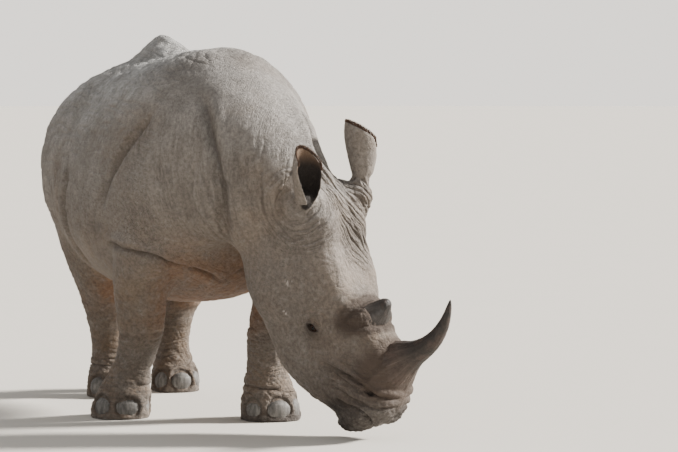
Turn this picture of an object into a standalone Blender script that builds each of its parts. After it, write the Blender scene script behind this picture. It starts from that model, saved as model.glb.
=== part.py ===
"""A white rhinoceros walking with its head swung to its left and lowered to the grass, life size, as a still model.

The animal faces +X, its left is +Y, and its soles stand on z = 0. Lengths are in metres and angles in degrees.
The flesh is made whole, from lofted tubes and rounded muscles melted together, and is then parted by thin cuts.
"""

import math

import bmesh
import bpy
from mathutils import Matrix, Vector

MODEL = "white_rhinoceros"

# Driving sizes. Places along the animal are measured from a point on the floor under its withers.
WITHERS_HEIGHT = 1.80
SACRUM_HEIGHT = 1.86
SACRUM_X = -1.06
RUMP_X = -1.70
EYE_RADIUS = 0.026
EAR_WALL = 0.011

# The head's own frame: s runs from the poll to the lips, n rises out of the forehead, r points to its right.
HEAD_HEADING = 35.0
HEAD_PITCH = 62.0
POLL = Vector((0.60, 0.325, 1.15))

# How the flesh is melted together, thinned and parted.
MELT_VOXEL = 0.016
MELT_ROUNDS = 18
BODY_TRIANGLES = 2750
GAP = 0.0003
HORN_GAP = 0.0008
FLOOR_CUT = 0.10

SKIN = ("skin", (0.30, 0.27, 0.245), 0.85)
HORN = ("horn", (0.085, 0.066, 0.052), 0.55)
NAIL = ("nail", (0.16, 0.155, 0.15), 0.6)
EYE = ("eye", (0.02, 0.012, 0.008), 0.12)

BUILD = bpy.data.collections.new(MODEL)
CUTTERS = bpy.data.collections.new("cutters")


def clear_scene():
    for old in list(bpy.data.objects):
        bpy.data.objects.remove(old, do_unlink=True)
    bpy.context.scene.collection.children.link(BUILD)
    bpy.context.scene.collection.children.link(CUTTERS)


# ---------------------------------------------------------------- frames and smooth rows of numbers


def facing(heading, pitch):
    """Unit vectors ahead, to the left and up for something that heads this way and is pitched down."""
    h = math.radians(heading)
    p = math.radians(pitch)
    ahead = Vector((math.cos(p) * math.cos(h), math.cos(p) * math.sin(h), -math.sin(p)))
    left = Vector((-math.sin(h), math.cos(h), 0.0))
    return ahead, left, ahead.cross(left)


HEAD_AHEAD, HEAD_LEFT, HEAD_UP = facing(HEAD_HEADING, HEAD_PITCH)


def on_head(s, n, r=0.0):
    """The place s along the head, n above its poll line and r to its right."""
    return POLL + HEAD_AHEAD * s + HEAD_UP * n - HEAD_LEFT * r


def smooth_rows(rows, steps):
    """Rows read from a smooth curve through the given rows, with steps from each to the next."""
    out = []
    last = len(rows) - 1
    for i in range(last):
        before, a, b, after = (rows[max(i - 1, 0)], rows[i], rows[i + 1], rows[min(i + 2, last)])
        for k in range(steps):
            t = k / steps
            out.append(
                [
                    0.5 * (2 * q + (r - p) * t + (2 * p - 5 * q + 4 * r - v) * t**2 + (3 * q - p - 3 * r + v) * t**3)
                    for p, q, r, v in zip(before, a, b, after)
                ]
            )
    out.append(list(rows[last]))
    return out


# ---------------------------------------------------------------- solids


def loft(rows, steps=6, sides=48):
    """A closed tube through rows of x, y, z, half width, rise, drop, squareness, heading and pitch.

    Rise and drop are the section's reach above and below its centre; squareness 2 is an ellipse.
    """
    bm = bmesh.new()
    rings = []
    for x, y, z, half_width, rise, drop, square, heading, pitch in smooth_rows(rows, steps):
        _, left, up = facing(heading, pitch)
        ring = []
        for k in range(sides):
            angle = 2 * math.pi * k / sides
            side = math.copysign(abs(math.cos(angle)) ** (2 / square), math.cos(angle)) * half_width
            height = math.copysign(abs(math.sin(angle)) ** (2 / square), math.sin(angle))
            height *= rise if height > 0 else drop
            ring.append(bm.verts.new(Vector((x, y, z)) + left * side + up * height))
        rings.append(ring)
    for one, two in zip(rings, rings[1:]):
        for k in range(sides):
            bm.faces.new((one[k], one[(k + 1) % sides], two[(k + 1) % sides], two[k]))
    bm.faces.new(reversed(rings[0]))
    bm.faces.new(rings[-1])
    bmesh.ops.recalc_face_normals(bm, faces=bm.faces)
    return bm


def lump(center, radii, heading=0.0, pitch=0.0, sides=32):
    """An egg whose radii run ahead, to the left and up in its own frame."""
    ahead, left, up = facing(heading, pitch)
    turn = Matrix((ahead, left, up)).transposed().to_4x4()
    place = Matrix.Translation(center) @ turn @ Matrix.Diagonal((*radii, 1.0))
    bm = bmesh.new()
    bmesh.ops.create_uvsphere(bm, u_segments=sides, v_segments=sides // 2, radius=1.0, matrix=place)
    return bm


def head_lump(s, n, r, radii):
    return lump(on_head(s, n, r), radii, HEAD_HEADING, HEAD_PITCH)


def joined(meshes):
    """One bmesh that holds all of these, which are freed."""
    whole = bmesh.new()
    for bm in meshes:
        data = bpy.data.meshes.new("piece")
        bm.to_mesh(data)
        bm.free()
        whole.from_mesh(data)
        bpy.data.meshes.remove(data)
    return whole


def add_object(name, bm, collection=None):
    data = bpy.data.meshes.new(name)
    bm.to_mesh(data)
    bm.free()
    data.shade_smooth()
    made = bpy.data.objects.new(name, data)
    (collection or BUILD).objects.link(made)
    return made


def add_cutter(name, bm):
    made = add_object(name, bm, CUTTERS)
    made.hide_render = True
    made.display_type = "WIRE"
    return made


def settle(made):
    """Replaces an object's mesh by the one its modifiers make."""
    view = bpy.context.evaluated_depsgraph_get()
    view.update()
    data = bpy.data.meshes.new_from_object(made.evaluated_get(view))
    made.modifiers.clear()
    old = made.data
    made.data = data
    bpy.data.meshes.remove(old)


def boolean(made, cutter, operation="DIFFERENCE"):
    step = made.modifiers.new(cutter.name, "BOOLEAN")
    step.operation = operation
    step.object = cutter
    step.solver = "EXACT"
    settle(made)


# ---------------------------------------------------------------- the flesh, as tubes and muscles

# x, y, z, half width, rise, drop, squareness, heading, pitch, from the rump to the back of the head
BODY = (
    (-1.715, 0.00, 1.22, 0.10, 0.10, 0.12, 2.0, 0, 0),
    (-1.68, 0.00, 1.21, 0.27, 0.22, 0.29, 2.05, 0, 0),
    (-1.56, 0.00, 1.20, 0.44, 0.38, 0.43, 2.1, 0, 0),
    (-1.36, 0.00, 1.19, 0.555, 0.50, 0.53, 2.15, 0, 0),
    (-1.08, 0.00, 1.15, 0.60, 0.59, 0.57, 2.12, 0, 0),
    (-0.80, 0.01, 1.11, 0.61, 0.625, 0.57, 2.15, 0, 0),
    (-0.52, 0.015, 1.09, 0.60, 0.67, 0.555, 2.15, 0, 0),
    (-0.25, 0.00, 1.12, 0.545, 0.665, 0.535, 2.12, 0, 0),
    (-0.02, -0.015, 1.17, 0.475, 0.61, 0.50, 2.05, 4, 6),
    (0.14, -0.02, 1.18, 0.41, 0.52, 0.47, 2.05, 10, 18),
    (0.26, 0.02, 1.16, 0.35, 0.43, 0.43, 2.1, 18, 33),
    (0.34, 0.065, 1.10, 0.29, 0.355, 0.39, 2.1, 27, 49),
    (0.40, 0.13, 1.03, 0.245, 0.29, 0.32, 2.2, 34, 61),
    (0.43, 0.17, 0.96, 0.22, 0.25, 0.28, 2.2, 35, 62),
)

# s, dorsal n, ventral n, half width, level of the widest part between them, squareness
HEAD_ROWS = (
    (-0.13, -0.10, -0.42, 0.14, 0.5, 2.1),
    (-0.06, -0.03, -0.52, 0.20, 0.5, 2.2),
    (0.04, 0.00, -0.585, 0.22, 0.42, 2.3),
    (0.20, -0.045, -0.61, 0.22, 0.40, 2.4),
    (0.36, -0.087, -0.615, 0.205, 0.40, 2.5),
    (0.50, -0.075, -0.615, 0.185, 0.42, 2.9),
    (0.63, -0.066, -0.61, 0.168, 0.44, 3.2),
    (0.76, -0.040, -0.57, 0.148, 0.48, 3.1),
    (0.87, -0.045, -0.50, 0.14, 0.5, 2.7),
    (0.96, -0.07, -0.43, 0.148, 0.5, 2.8),
    (1.04, -0.125, -0.37, 0.14, 0.5, 2.6),
    (1.078, -0.195, -0.31, 0.095, 0.5, 2.2),
)

# Each leg from the body to below its sole: x, y, z, half width, fore reach, aft reach, squareness, heading, pitch
FORELEG_RIGHT = (
    (-0.17, -0.12, 1.34, 0.12, 0.12, 0.16, 2.0, 0, 80),
    (-0.17, -0.235, 1.12, 0.17, 0.15, 0.22, 2.0, 0, 80),
    (-0.14, -0.33, 0.91, 0.165, 0.19, 0.23, 2.1, 0, 78),
    (-0.18, -0.365, 0.74, 0.145, 0.18, 0.18, 2.2, 0, 76),
    (-0.25, -0.355, 0.56, 0.125, 0.135, 0.135, 2.1, 0, 74),
    (-0.31, -0.34, 0.40, 0.112, 0.118, 0.108, 2.1, 0, 74),
    (-0.36, -0.36, 0.28, 0.10, 0.10, 0.095, 2.1, 0, 74),
    (-0.405, -0.385, 0.18, 0.115, 0.12, 0.105, 2.1, 0, 78),
    (-0.435, -0.40, 0.09, 0.14, 0.15, 0.12, 2.2, 0, 86),
    (-0.44, -0.41, 0.03, 0.148, 0.158, 0.125, 2.3, 0, 90),
    (-0.44, -0.41, -0.04, 0.145, 0.155, 0.12, 2.3, 0, 90),
)
FORELEG_LEFT = (
    (-0.17, 0.12, 1.34, 0.12, 0.12, 0.16, 2.0, 0, 88),
    (-0.16, 0.235, 1.12, 0.17, 0.15, 0.22, 2.0, 0, 90),
    (-0.12, 0.33, 0.91, 0.165, 0.19, 0.23, 2.1, 0, 90),
    (-0.09, 0.33, 0.74, 0.145, 0.165, 0.18, 2.2, 0, 92),
    (-0.08, 0.28, 0.56, 0.125, 0.135, 0.135, 2.1, 0, 90),
    (-0.08, 0.24, 0.39, 0.112, 0.118, 0.108, 2.1, 0, 86),
    (-0.10, 0.23, 0.27, 0.098, 0.10, 0.095, 2.1, 0, 86),
    (-0.11, 0.235, 0.18, 0.112, 0.12, 0.105, 2.1, 0, 88),
    (-0.105, 0.24, 0.09, 0.14, 0.15, 0.12, 2.2, 0, 90),
    (-0.10, 0.245, 0.03, 0.148, 0.158, 0.125, 2.3, 0, 90),
    (-0.10, 0.245, -0.04, 0.145, 0.155, 0.12, 2.3, 0, 90),
)
HINDLEG_RIGHT = (
    (-1.22, -0.20, 1.40, 0.14, 0.22, 0.20, 2.0, 0, 90),
    (-1.24, -0.29, 1.15, 0.21, 0.40, 0.38, 2.1, 0, 90),
    (-1.20, -0.325, 0.93, 0.19, 0.37, 0.36, 2.2, 0, 88),
    (-1.18, -0.315, 0.75, 0.155, 0.29, 0.30, 2.2, 0, 80),
    (-1.245, -0.28, 0.58, 0.122, 0.20, 0.19, 2.1, 0, 74),
    (-1.34, -0.235, 0.43, 0.105, 0.135, 0.135, 2.1, 0, 80),
    (-1.35, -0.21, 0.30, 0.095, 0.11, 0.105, 2.1, 0, 94),
    (-1.33, -0.21, 0.19, 0.10, 0.11, 0.105, 2.1, 0, 98),
    (-1.30, -0.215, 0.09, 0.125, 0.145, 0.12, 2.2, 0, 92),
    (-1.29, -0.22, 0.03, 0.13, 0.15, 0.125, 2.3, 0, 90),
    (-1.29, -0.22, -0.04, 0.127, 0.147, 0.12, 2.3, 0, 90),
)
HINDLEG_LEFT = (
    (-1.24, 0.20, 1.40, 0.14, 0.22, 0.20, 2.0, 0, 90),
    (-1.27, 0.29, 1.15, 0.21, 0.40, 0.36, 2.1, 0, 90),
    (-1.27, 0.325, 0.93, 0.19, 0.37, 0.33, 2.2, 0, 88),
    (-1.27, 0.31, 0.75, 0.155, 0.29, 0.28, 2.2, 0, 78),
    (-1.365, 0.26, 0.58, 0.122, 0.20, 0.185, 2.1, 0, 72),
    (-1.47, 0.20, 0.43, 0.105, 0.135, 0.13, 2.1, 0, 78),
    (-1.485, 0.17, 0.30, 0.095, 0.11, 0.105, 2.1, 0, 94),
    (-1.465, 0.165, 0.19, 0.10, 0.11, 0.105, 2.1, 0, 98),
    (-1.435, 0.165, 0.09, 0.125, 0.145, 0.12, 2.2, 0, 92),
    (-1.425, 0.165, 0.03, 0.13, 0.15, 0.125, 2.3, 0, 90),
    (-1.425, 0.165, -0.04, 0.127, 0.147, 0.12, 2.3, 0, 90),
)
LEGS = {
    "foreleg_right": FORELEG_RIGHT,
    "foreleg_left": FORELEG_LEFT,
    "hindleg_right": HINDLEG_RIGHT,
    "hindleg_left": HINDLEG_LEFT,
}


def head_tube():
    rows = []
    for s, top, bottom, half_width, level, square in HEAD_ROWS:
        middle = top + (bottom - top) * level
        place = on_head(s, middle)
        rows.append((*place, half_width, top - middle, middle - bottom, square, HEAD_HEADING, HEAD_PITCH))
    return loft(rows)


def trunk_muscles():
    """The ridge over the sacrum, the withers, the hips, the buttocks and the shoulders."""
    yield lump((SACRUM_X + 0.03, 0.0, SACRUM_HEIGHT - 0.235), (0.36, 0.18, 0.20))
    yield lump((SACRUM_X, 0.0, SACRUM_HEIGHT - 0.165), (0.22, 0.08, 0.17))
    yield lump((-0.02, 0.03, WITHERS_HEIGHT - 0.25), (0.34, 0.18, 0.24), 4, 4)
    for side in (-1, 1):
        yield lump((SACRUM_X + 0.02, side * 0.32, 1.49), (0.20, 0.14, 0.13))
        yield lump((RUMP_X + 0.22, side * 0.20, 1.12), (0.19, 0.17, 0.28))
        yield lump((-0.14, side * 0.33, 1.08), (0.26, 0.14, 0.40), 0, -8)


def head_muscles():
    """Brows, temples, cheeks, the boss under the front horn, the nostril wings, the lips and the ears' roots."""
    yield head_lump(0.84, -0.13, 0.0, (0.14, 0.14, 0.115))
    yield head_lump(0.992, -0.325, 0.0, (0.083, 0.128, 0.155))
    for side in (-1, 1):
        yield head_lump(0.53, -0.22, side * 0.105, (0.14, 0.08, 0.075))
        yield head_lump(0.24, -0.18, side * 0.115, (0.36, 0.11, 0.13))
        yield head_lump(0.10, -0.08, side * 0.11, (0.18, 0.10, 0.085))
        yield head_lump(0.28, -0.42, side * 0.10, (0.26, 0.12, 0.17))
        yield head_lump(0.93, -0.24, side * 0.10, (0.11, 0.055, 0.10))
    for name in EARS:
        root, point, _, _ = ear_frame(name)
        yield lump(root - point * 0.055, (0.067, 0.067, 0.092))


def make_flesh():
    """The whole animal but its ears and tail: melted together, smoothed, thinned and cut level under the feet."""
    meshes = [loft(BODY), head_tube()]
    meshes += [loft(rows) for rows in LEGS.values()]
    meshes += [*trunk_muscles(), *head_muscles()]
    flesh = add_object("flesh", joined(meshes))
    melt = flesh.modifiers.new("melt", "REMESH")
    melt.mode = "VOXEL"
    melt.voxel_size = MELT_VOXEL
    ease = flesh.modifiers.new("ease", "SMOOTH")
    ease.factor = 0.5
    ease.iterations = MELT_ROUNDS
    settle(flesh)
    thin = flesh.modifiers.new("thin", "DECIMATE")
    thin.ratio = BODY_TRIANGLES / (2 * len(flesh.data.polygons))
    settle(flesh)
    return flesh


# ---------------------------------------------------------------- horns, eyes, ears, tail and toenails

# Along a horn: rise n over the poll line, s, half width, reach to the poll, reach to the lips, lean of the section
FRONT_HORN = (
    (-0.195, 0.905, 0.112, 0.098, 0.082, -28),
    (-0.165, 0.903, 0.142, 0.122, 0.102, -28),
    (-0.120, 0.894, 0.146, 0.128, 0.112, -28),
    (-0.075, 0.882, 0.128, 0.120, 0.110, -28),
    (-0.030, 0.866, 0.094, 0.098, 0.100, -28),
    (0.015, 0.864, 0.068, 0.076, 0.074, -28),
    (0.055, 0.868, 0.055, 0.063, 0.056, -29),
    (0.11, 0.868, 0.046, 0.054, 0.045, -32),
    (0.18, 0.852, 0.038, 0.044, 0.036, -40),
    (0.245, 0.816, 0.028, 0.031, 0.026, -50),
    (0.29, 0.776, 0.018, 0.020, 0.017, -58),
    (0.320, 0.740, 0.008, 0.009, 0.009, -64),
    (0.328, 0.729, 0.003, 0.003, 0.003, -64),
)
REAR_HORN = (
    (-0.205, 0.608, 0.128, 0.080, 0.084, -28),
    (-0.170, 0.610, 0.150, 0.086, 0.096, -28),
    (-0.120, 0.612, 0.152, 0.084, 0.100, -28),
    (-0.072, 0.612, 0.128, 0.066, 0.090, -28),
    (-0.032, 0.607, 0.081, 0.048, 0.063, -28),
    (0.000, 0.601, 0.043, 0.034, 0.038, -28),
    (0.019, 0.599, 0.026, 0.021, 0.022, -28),
    (0.026, 0.599, 0.010, 0.010, 0.010, -28),
)
EYE_S, EYE_N, EYE_R = 0.563, -0.300, 0.158
TAIL = (
    (-1.62, 0.0, 1.46, 0.052, 0.046, 0.046, 2.0, 0, 140),
    (-1.685, 0.0, 1.41, 0.052, 0.045, 0.045, 2.0, 0, 130),
    (-1.74, 0.0, 1.32, 0.048, 0.040, 0.040, 2.0, 0, 110),
    (-1.762, 0.0, 1.18, 0.040, 0.032, 0.032, 2.0, 0, 95),
    (-1.764, 0.0, 1.02, 0.032, 0.026, 0.026, 2.0, 0, 89),
    (-1.76, 0.0, 0.90, 0.026, 0.024, 0.024, 2.0, 0, 87),
    (-1.755, 0.0, 0.84, 0.028, 0.040, 0.040, 2.0, 0, 88),
    (-1.75, 0.0, 0.76, 0.018, 0.042, 0.042, 2.0, 0, 88),
    (-1.75, 0.0, 0.71, 0.008, 0.018, 0.018, 2.0, 0, 90),
)
# Each ear: root on the head as s, n, r; the way it points; the way its opening faces; how far its tip sits to one side;
# its length
EARS = {
    "ear_right": ((0.053, -0.083, 0.198), Vector((0.585, 0.032, 0.81)), Vector((0.86, 0.48, -0.20)), 0.30, 0.279),
    "ear_left": ((0.01, 0.015, -0.182), Vector((-0.05, 0.06, 0.99)), Vector((-0.60, 0.78, 0.0)), -0.50, 0.292),
}
EAR_STALK = (
    (-0.055, 0.043),
    (-0.020, 0.044),
    (0.030, 0.043),
    (0.060, 0.039),
    (0.078, 0.030),
)
EAR_POCKET = (*EAR_STALK[:2], (0.026, 0.0435), (0.030, 0.058), (0.160, 0.080))
EAR_SIDES = 12
EAR_COLUMNS = 10
EAR_ROWS = 6
EAR_FOOT = 0.045
NAIL_ANGLES = (-56.0, 0.0, 56.0)
NAIL_SETTING = 0.80
NAIL_HEIGHT = 0.056
NAIL_DEPTH = 0.036
NAIL_SHARE = 0.30
NAIL_RISE = 0.050

# Where the flesh is parted: boxes given by their middle, half sizes, heading and pitch.
FOOT_TOP = 0.15
LEG_TOP = 0.52
LEG_REACH = (0.30, 0.185)
HEAD_BOX = ((0.927, 0.554, 0.556), (0.75, 0.32, 0.67), 35, 44)
NECK_BOX = ((0.965, 0.0, 1.0), (0.80, 0.90, 1.10), 0, 0)


def horn(rows, grow=0.0):
    """A horn on the middle of the face; grow swells it evenly and pushes its base in as far."""
    out = []
    for i, (n, s, half_width, back, front, lean) in enumerate(rows):
        place = on_head(s, n - (grow if i == 0 else 0.0))
        out.append((*place, half_width + grow, back + grow, front + grow, 2.0, HEAD_HEADING, HEAD_PITCH - 62 + lean))
    return loft(out, steps=2, sides=12)


def eye(side, grow=0.0):
    return lump(on_head(EYE_S, EYE_N, side * EYE_R), (EYE_RADIUS + grow,) * 3, HEAD_HEADING, HEAD_PITCH, sides=12)


def tail(grow=0.0):
    """The tail; grow swells it evenly and pushes its root in as far."""
    rows = [(x, y, z, w + grow, a + grow, b + grow, q, h, p) for x, y, z, w, a, b, q, h, p in TAIL]
    rows[0] = (rows[0][0] + grow, rows[0][1], rows[0][2] + grow, *rows[0][3:])
    return loft(rows, steps=2, sides=10)


def nail(leg, turn, grow=0.0):
    """A broad toenail on the front of a foot, turned this far from straight ahead."""
    x, y, _, half_width, fore = LEGS[leg][-2][:5]
    a = math.radians(turn)
    center = (x + fore * NAIL_SETTING * math.cos(a), y + half_width * NAIL_SETTING * math.sin(a), NAIL_HEIGHT)
    width = half_width * (NAIL_SHARE if turn else NAIL_SHARE * 1.18)
    return lump(center, (NAIL_DEPTH + grow, width + grow, NAIL_RISE + grow), turn, -10, sides=10)


def ear_frame(name):
    root, point, opening = EARS[name][:3]
    point = point.normalized()
    side = point.cross(opening).normalized()
    return on_head(*root), point, side.cross(point), side


def ear_plug(name, rows, grow=0.0):
    """A round plug along an ear, through rows of height and radius, that starts under the skin."""
    root, point, opening, side = ear_frame(name)
    bm = bmesh.new()
    rings = []
    for height, radius in rows:
        rise = height - grow if height == rows[0][0] else height
        ring = []
        for k in range(EAR_SIDES):
            turn = 2 * math.pi * k / EAR_SIDES
            out = opening * math.cos(turn) + side * math.sin(turn)
            ring.append(bm.verts.new(root + point * rise + out * (radius + grow)))
        rings.append(ring)
    for one, two in zip(rings, rings[1:]):
        for k in range(EAR_SIDES):
            after = (k + 1) % EAR_SIDES
            bm.faces.new((one[k], one[after], two[after], two[k]))
    bm.faces.new(rings[0])
    bm.faces.new(rings[-1])
    bmesh.ops.recalc_face_normals(bm, faces=bm.faces)
    return bm


def ear_shell(name):
    """The rolled leaf of an ear: a tube at its root that opens up, with a rounded tip."""
    root, point, opening, side = ear_frame(name)
    tip, length = EARS[name][3:]
    bm = bmesh.new()
    grid = []
    for j in range(EAR_ROWS + 1):
        line = []
        for i in range(EAR_COLUMNS + 1):
            v = 2 * i / EAR_COLUMNS - 1
            u = j / EAR_ROWS
            height = EAR_FOOT + (length - EAR_FOOT) * u * (1 - 0.30 * (abs(v - tip) / (1 + abs(tip))) ** 1.7 * u)
            t = height / length
            radius = 0.030 + 0.047 * math.sin(min(t / 0.85, 1.0) * math.pi / 2)
            radius -= 0.010 * max(t - 0.8, 0.0) / 0.2
            spread = math.radians(170 - 80 * min(t / 0.75, 1.0) - 6 * t)
            turn = math.pi + v * spread
            place = root + point * height + (opening * math.cos(turn) + side * math.sin(turn)) * radius
            place += opening * (0.012 - 0.040 * t * t)
            line.append(bm.verts.new(place))
        grid.append(line)
    for j in range(EAR_ROWS):
        for i in range(EAR_COLUMNS):
            bm.faces.new((grid[j][i], grid[j][i + 1], grid[j + 1][i + 1], grid[j + 1][i]))
    bmesh.ops.recalc_face_normals(bm, faces=bm.faces)
    return bm


def make_ear(name):
    """One ear: the shell thickened, and joined to its stalk."""
    made = add_object(name, ear_shell(name))
    thicken = made.modifiers.new("wall", "SOLIDIFY")
    thicken.thickness = EAR_WALL
    thicken.offset = 0.0
    settle(made)
    stalk = add_cutter(name + "_stalk", ear_plug(name, EAR_STALK))
    boolean(made, stalk, "UNION")
    return made


# ---------------------------------------------------------------- parting the flesh


def box(center, half, heading=0.0, pitch=0.0, grow=0.0):
    ahead, left, up = facing(heading, pitch)
    turn = Matrix((ahead, left, up)).transposed().to_4x4()
    sizes = [2 * (h + grow) for h in half]
    place = Matrix.Translation(center) @ turn @ Matrix.Diagonal((*sizes, 1.0))
    bm = bmesh.new()
    bmesh.ops.create_cube(bm, size=1.0, matrix=place)
    return bm


def pocket(flesh, name, bm):
    """Sinks a grown copy of a hard piece into the flesh that holds it."""
    boolean(flesh, add_cutter(name + "_pocket", bm))


def part_off(flesh, name, middle, half, heading=0.0, pitch=0.0):
    """Moves the flesh inside a box to a node of its own, with a thin gap left between the two."""
    inside = bpy.data.objects.new(name, flesh.data.copy())
    BUILD.objects.link(inside)
    boolean(inside, add_cutter(name + "_region", box(middle, half, heading, pitch)), "INTERSECT")
    boolean(flesh, add_cutter(name + "_cut", box(middle, half, heading, pitch, GAP)))
    return inside


def part_leg(flesh, name):
    """Parts the foot at the pastern, and then the leg over it, under the belly."""
    rows = LEGS[name]
    x, y = rows[-2][:2]
    knee_x, knee_y = rows[5][:2]
    foot_half = FOOT_TOP / 2 + 0.05
    leg_half = LEG_TOP / 2 + 0.05
    part_off(flesh, name.replace("leg", "foot"), (x, y, FOOT_TOP - foot_half), (*LEG_REACH, foot_half))
    middle = ((x + knee_x) / 2, (y + knee_y) / 2, LEG_TOP - leg_half)
    part_off(flesh, name, middle, (*LEG_REACH, leg_half))


def paint(kind, *names):
    title, color, roughness = kind
    made = bpy.data.materials.new(title)
    made.use_nodes = True
    surface = made.node_tree.nodes["Principled BSDF"]
    surface.inputs["Base Color"].default_value = (*color, 1.0)
    surface.inputs["Roughness"].default_value = roughness
    made.diffuse_color = (*color, 1.0)
    for name in names:
        data = bpy.data.objects[name].data
        data.materials.clear()
        data.materials.append(made)


def stand_on_origin():
    """Moves everything so that the middle of the whole outline, on the floor, is the origin."""
    corners = [v.co for made in BUILD.objects for v in made.data.vertices]
    lowest = [min(c[i] for c in corners) for i in range(3)]
    highest = [max(c[i] for c in corners) for i in range(3)]
    move = Vector(((lowest[0] + highest[0]) / 2, (lowest[1] + highest[1]) / 2, lowest[2]))
    for made in [*BUILD.objects, *CUTTERS.objects]:
        made.data.transform(Matrix.Translation(-move))


def main():
    clear_scene()
    flesh = make_flesh()
    boolean(flesh, add_cutter("floor", box((-0.5, 0.0, -FLOOR_CUT), (3.0, 2.0, FLOOR_CUT))))
    for name, rows in (("horn_front", FRONT_HORN), ("horn_rear", REAR_HORN)):
        add_object(name, horn(rows))
        pocket(flesh, name, horn(rows, HORN_GAP))
    for name, side in (("eye_right", 1), ("eye_left", -1)):
        add_object(name, eye(side))
        pocket(flesh, name, eye(side, GAP))
    for name in EARS:
        make_ear(name)
        pocket(flesh, name, ear_plug(name, EAR_POCKET, GAP))
    add_object("tail", tail())
    pocket(flesh, "tail", tail(GAP))
    nails = []
    for leg in LEGS:
        for place, turn in zip(("right", "middle", "left"), NAIL_ANGLES):
            name = leg.replace("leg", "foot") + "_nail_" + place
            add_object(name, nail(leg, turn))
            pocket(flesh, name, nail(leg, turn, GAP))
            nails.append(name)
    neck = part_off(flesh, "neck", *NECK_BOX)
    part_off(neck, "head", *HEAD_BOX)
    for leg in LEGS:
        part_leg(flesh, leg)
    flesh.name = "trunk"
    hard = ["horn_front", "horn_rear", "eye_right", "eye_left", *nails]
    paint(HORN, *hard[:2])
    paint(EYE, *hard[2:4])
    paint(NAIL, *nails)
    paint(SKIN, *[made.name for made in BUILD.objects if made.name not in hard])
    stand_on_origin()


if __name__ == "__main__":
    main()
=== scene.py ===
"""Dresses the white rhinoceros: one skin over its solids, horns, eyes, toenails and hair, on a pale floor."""

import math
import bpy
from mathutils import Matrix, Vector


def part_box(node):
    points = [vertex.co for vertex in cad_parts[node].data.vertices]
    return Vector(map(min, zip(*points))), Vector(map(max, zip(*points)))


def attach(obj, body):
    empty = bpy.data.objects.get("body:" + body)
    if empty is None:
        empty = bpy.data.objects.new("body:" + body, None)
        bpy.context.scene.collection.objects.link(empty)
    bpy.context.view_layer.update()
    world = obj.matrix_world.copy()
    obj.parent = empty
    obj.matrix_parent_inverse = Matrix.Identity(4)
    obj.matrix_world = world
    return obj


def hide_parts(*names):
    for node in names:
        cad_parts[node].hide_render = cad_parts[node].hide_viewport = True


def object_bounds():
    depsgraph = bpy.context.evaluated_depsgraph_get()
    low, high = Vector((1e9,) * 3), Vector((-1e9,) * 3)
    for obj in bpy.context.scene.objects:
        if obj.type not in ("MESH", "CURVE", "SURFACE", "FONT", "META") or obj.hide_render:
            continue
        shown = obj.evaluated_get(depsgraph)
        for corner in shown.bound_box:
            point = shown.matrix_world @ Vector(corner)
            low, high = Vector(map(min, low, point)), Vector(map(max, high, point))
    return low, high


bl_info = {
    "name": "White Rhinoceros",
    "version": (1, 0, 0),
    "blender": (4, 5, 0),
    "location": "3D View > Sidebar > Rhinoceros",
    "description": "Builds the skin, horns, eyes, toenails and hair of a grazing white rhinoceros",
    "category": "Object",
}

import bmesh
import bpy
import numpy as np
from bpy.props import FloatProperty, FloatVectorProperty, IntProperty, PointerProperty
from mathutils import Vector
from mathutils.bvhtree import BVHTree

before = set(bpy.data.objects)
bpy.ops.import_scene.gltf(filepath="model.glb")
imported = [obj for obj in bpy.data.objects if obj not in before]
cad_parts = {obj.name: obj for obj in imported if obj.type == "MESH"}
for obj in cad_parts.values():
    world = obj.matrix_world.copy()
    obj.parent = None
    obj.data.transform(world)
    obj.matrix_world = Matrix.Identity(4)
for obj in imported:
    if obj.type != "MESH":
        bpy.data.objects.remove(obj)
CAD_LOW, CAD_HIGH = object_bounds()

# ---------------------------------------------------------------- frames of the trunk and the head

HEAD_HEADING = math.radians(35)
HEAD_PITCH = math.radians(62)
AHEAD = np.array(
    (
        math.cos(HEAD_PITCH) * math.cos(HEAD_HEADING),
        math.cos(HEAD_PITCH) * math.sin(HEAD_HEADING),
        -math.sin(HEAD_PITCH),
    )
)
LEFT = np.array((-math.sin(HEAD_HEADING), math.cos(HEAD_HEADING), 0.0))
OUT = np.cross(AHEAD, LEFT)
EYE_S, EYE_N = 0.563, -0.300


def middle_of(node):
    low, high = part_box(node)
    return (np.array(low) + np.array(high)) / 2


EYE_RIGHT = middle_of("eye_right")
EYE_LEFT = middle_of("eye_left")
POLL = (EYE_RIGHT + EYE_LEFT) / 2 - AHEAD * EYE_S - OUT * EYE_N
# The trunk's own zero is the place on the floor under the withers.
WITHERS = POLL - np.array((0.60, 0.325, 1.15))
# Where the upright line down the middle of the tail stands.
TAIL_MIDDLE = WITHERS[:2] + (-1.752, 0.0)


def on_head(s, n, r):
    """The place s from the poll towards the lips, n out of the forehead and r to the animal's right."""
    return POLL + AHEAD * s + OUT * n - LEFT * r


def head_places(places):
    """The s, n and r of many places."""
    q = places - POLL
    return np.stack((q @ AHEAD, q @ OUT, -(q @ LEFT)), axis=1)


# ---------------------------------------------------------------- numbers over many places


def ramp(values, start, end):
    """A smooth rise from 0 at start to 1 at end, which may be the lower of the two."""
    t = np.clip((values - start) / (end - start), 0.0, 1.0)
    return t * t * (3 - 2 * t)


def hill(values, middle, width):
    return np.exp(-(((values - middle) / width) ** 2))


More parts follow.
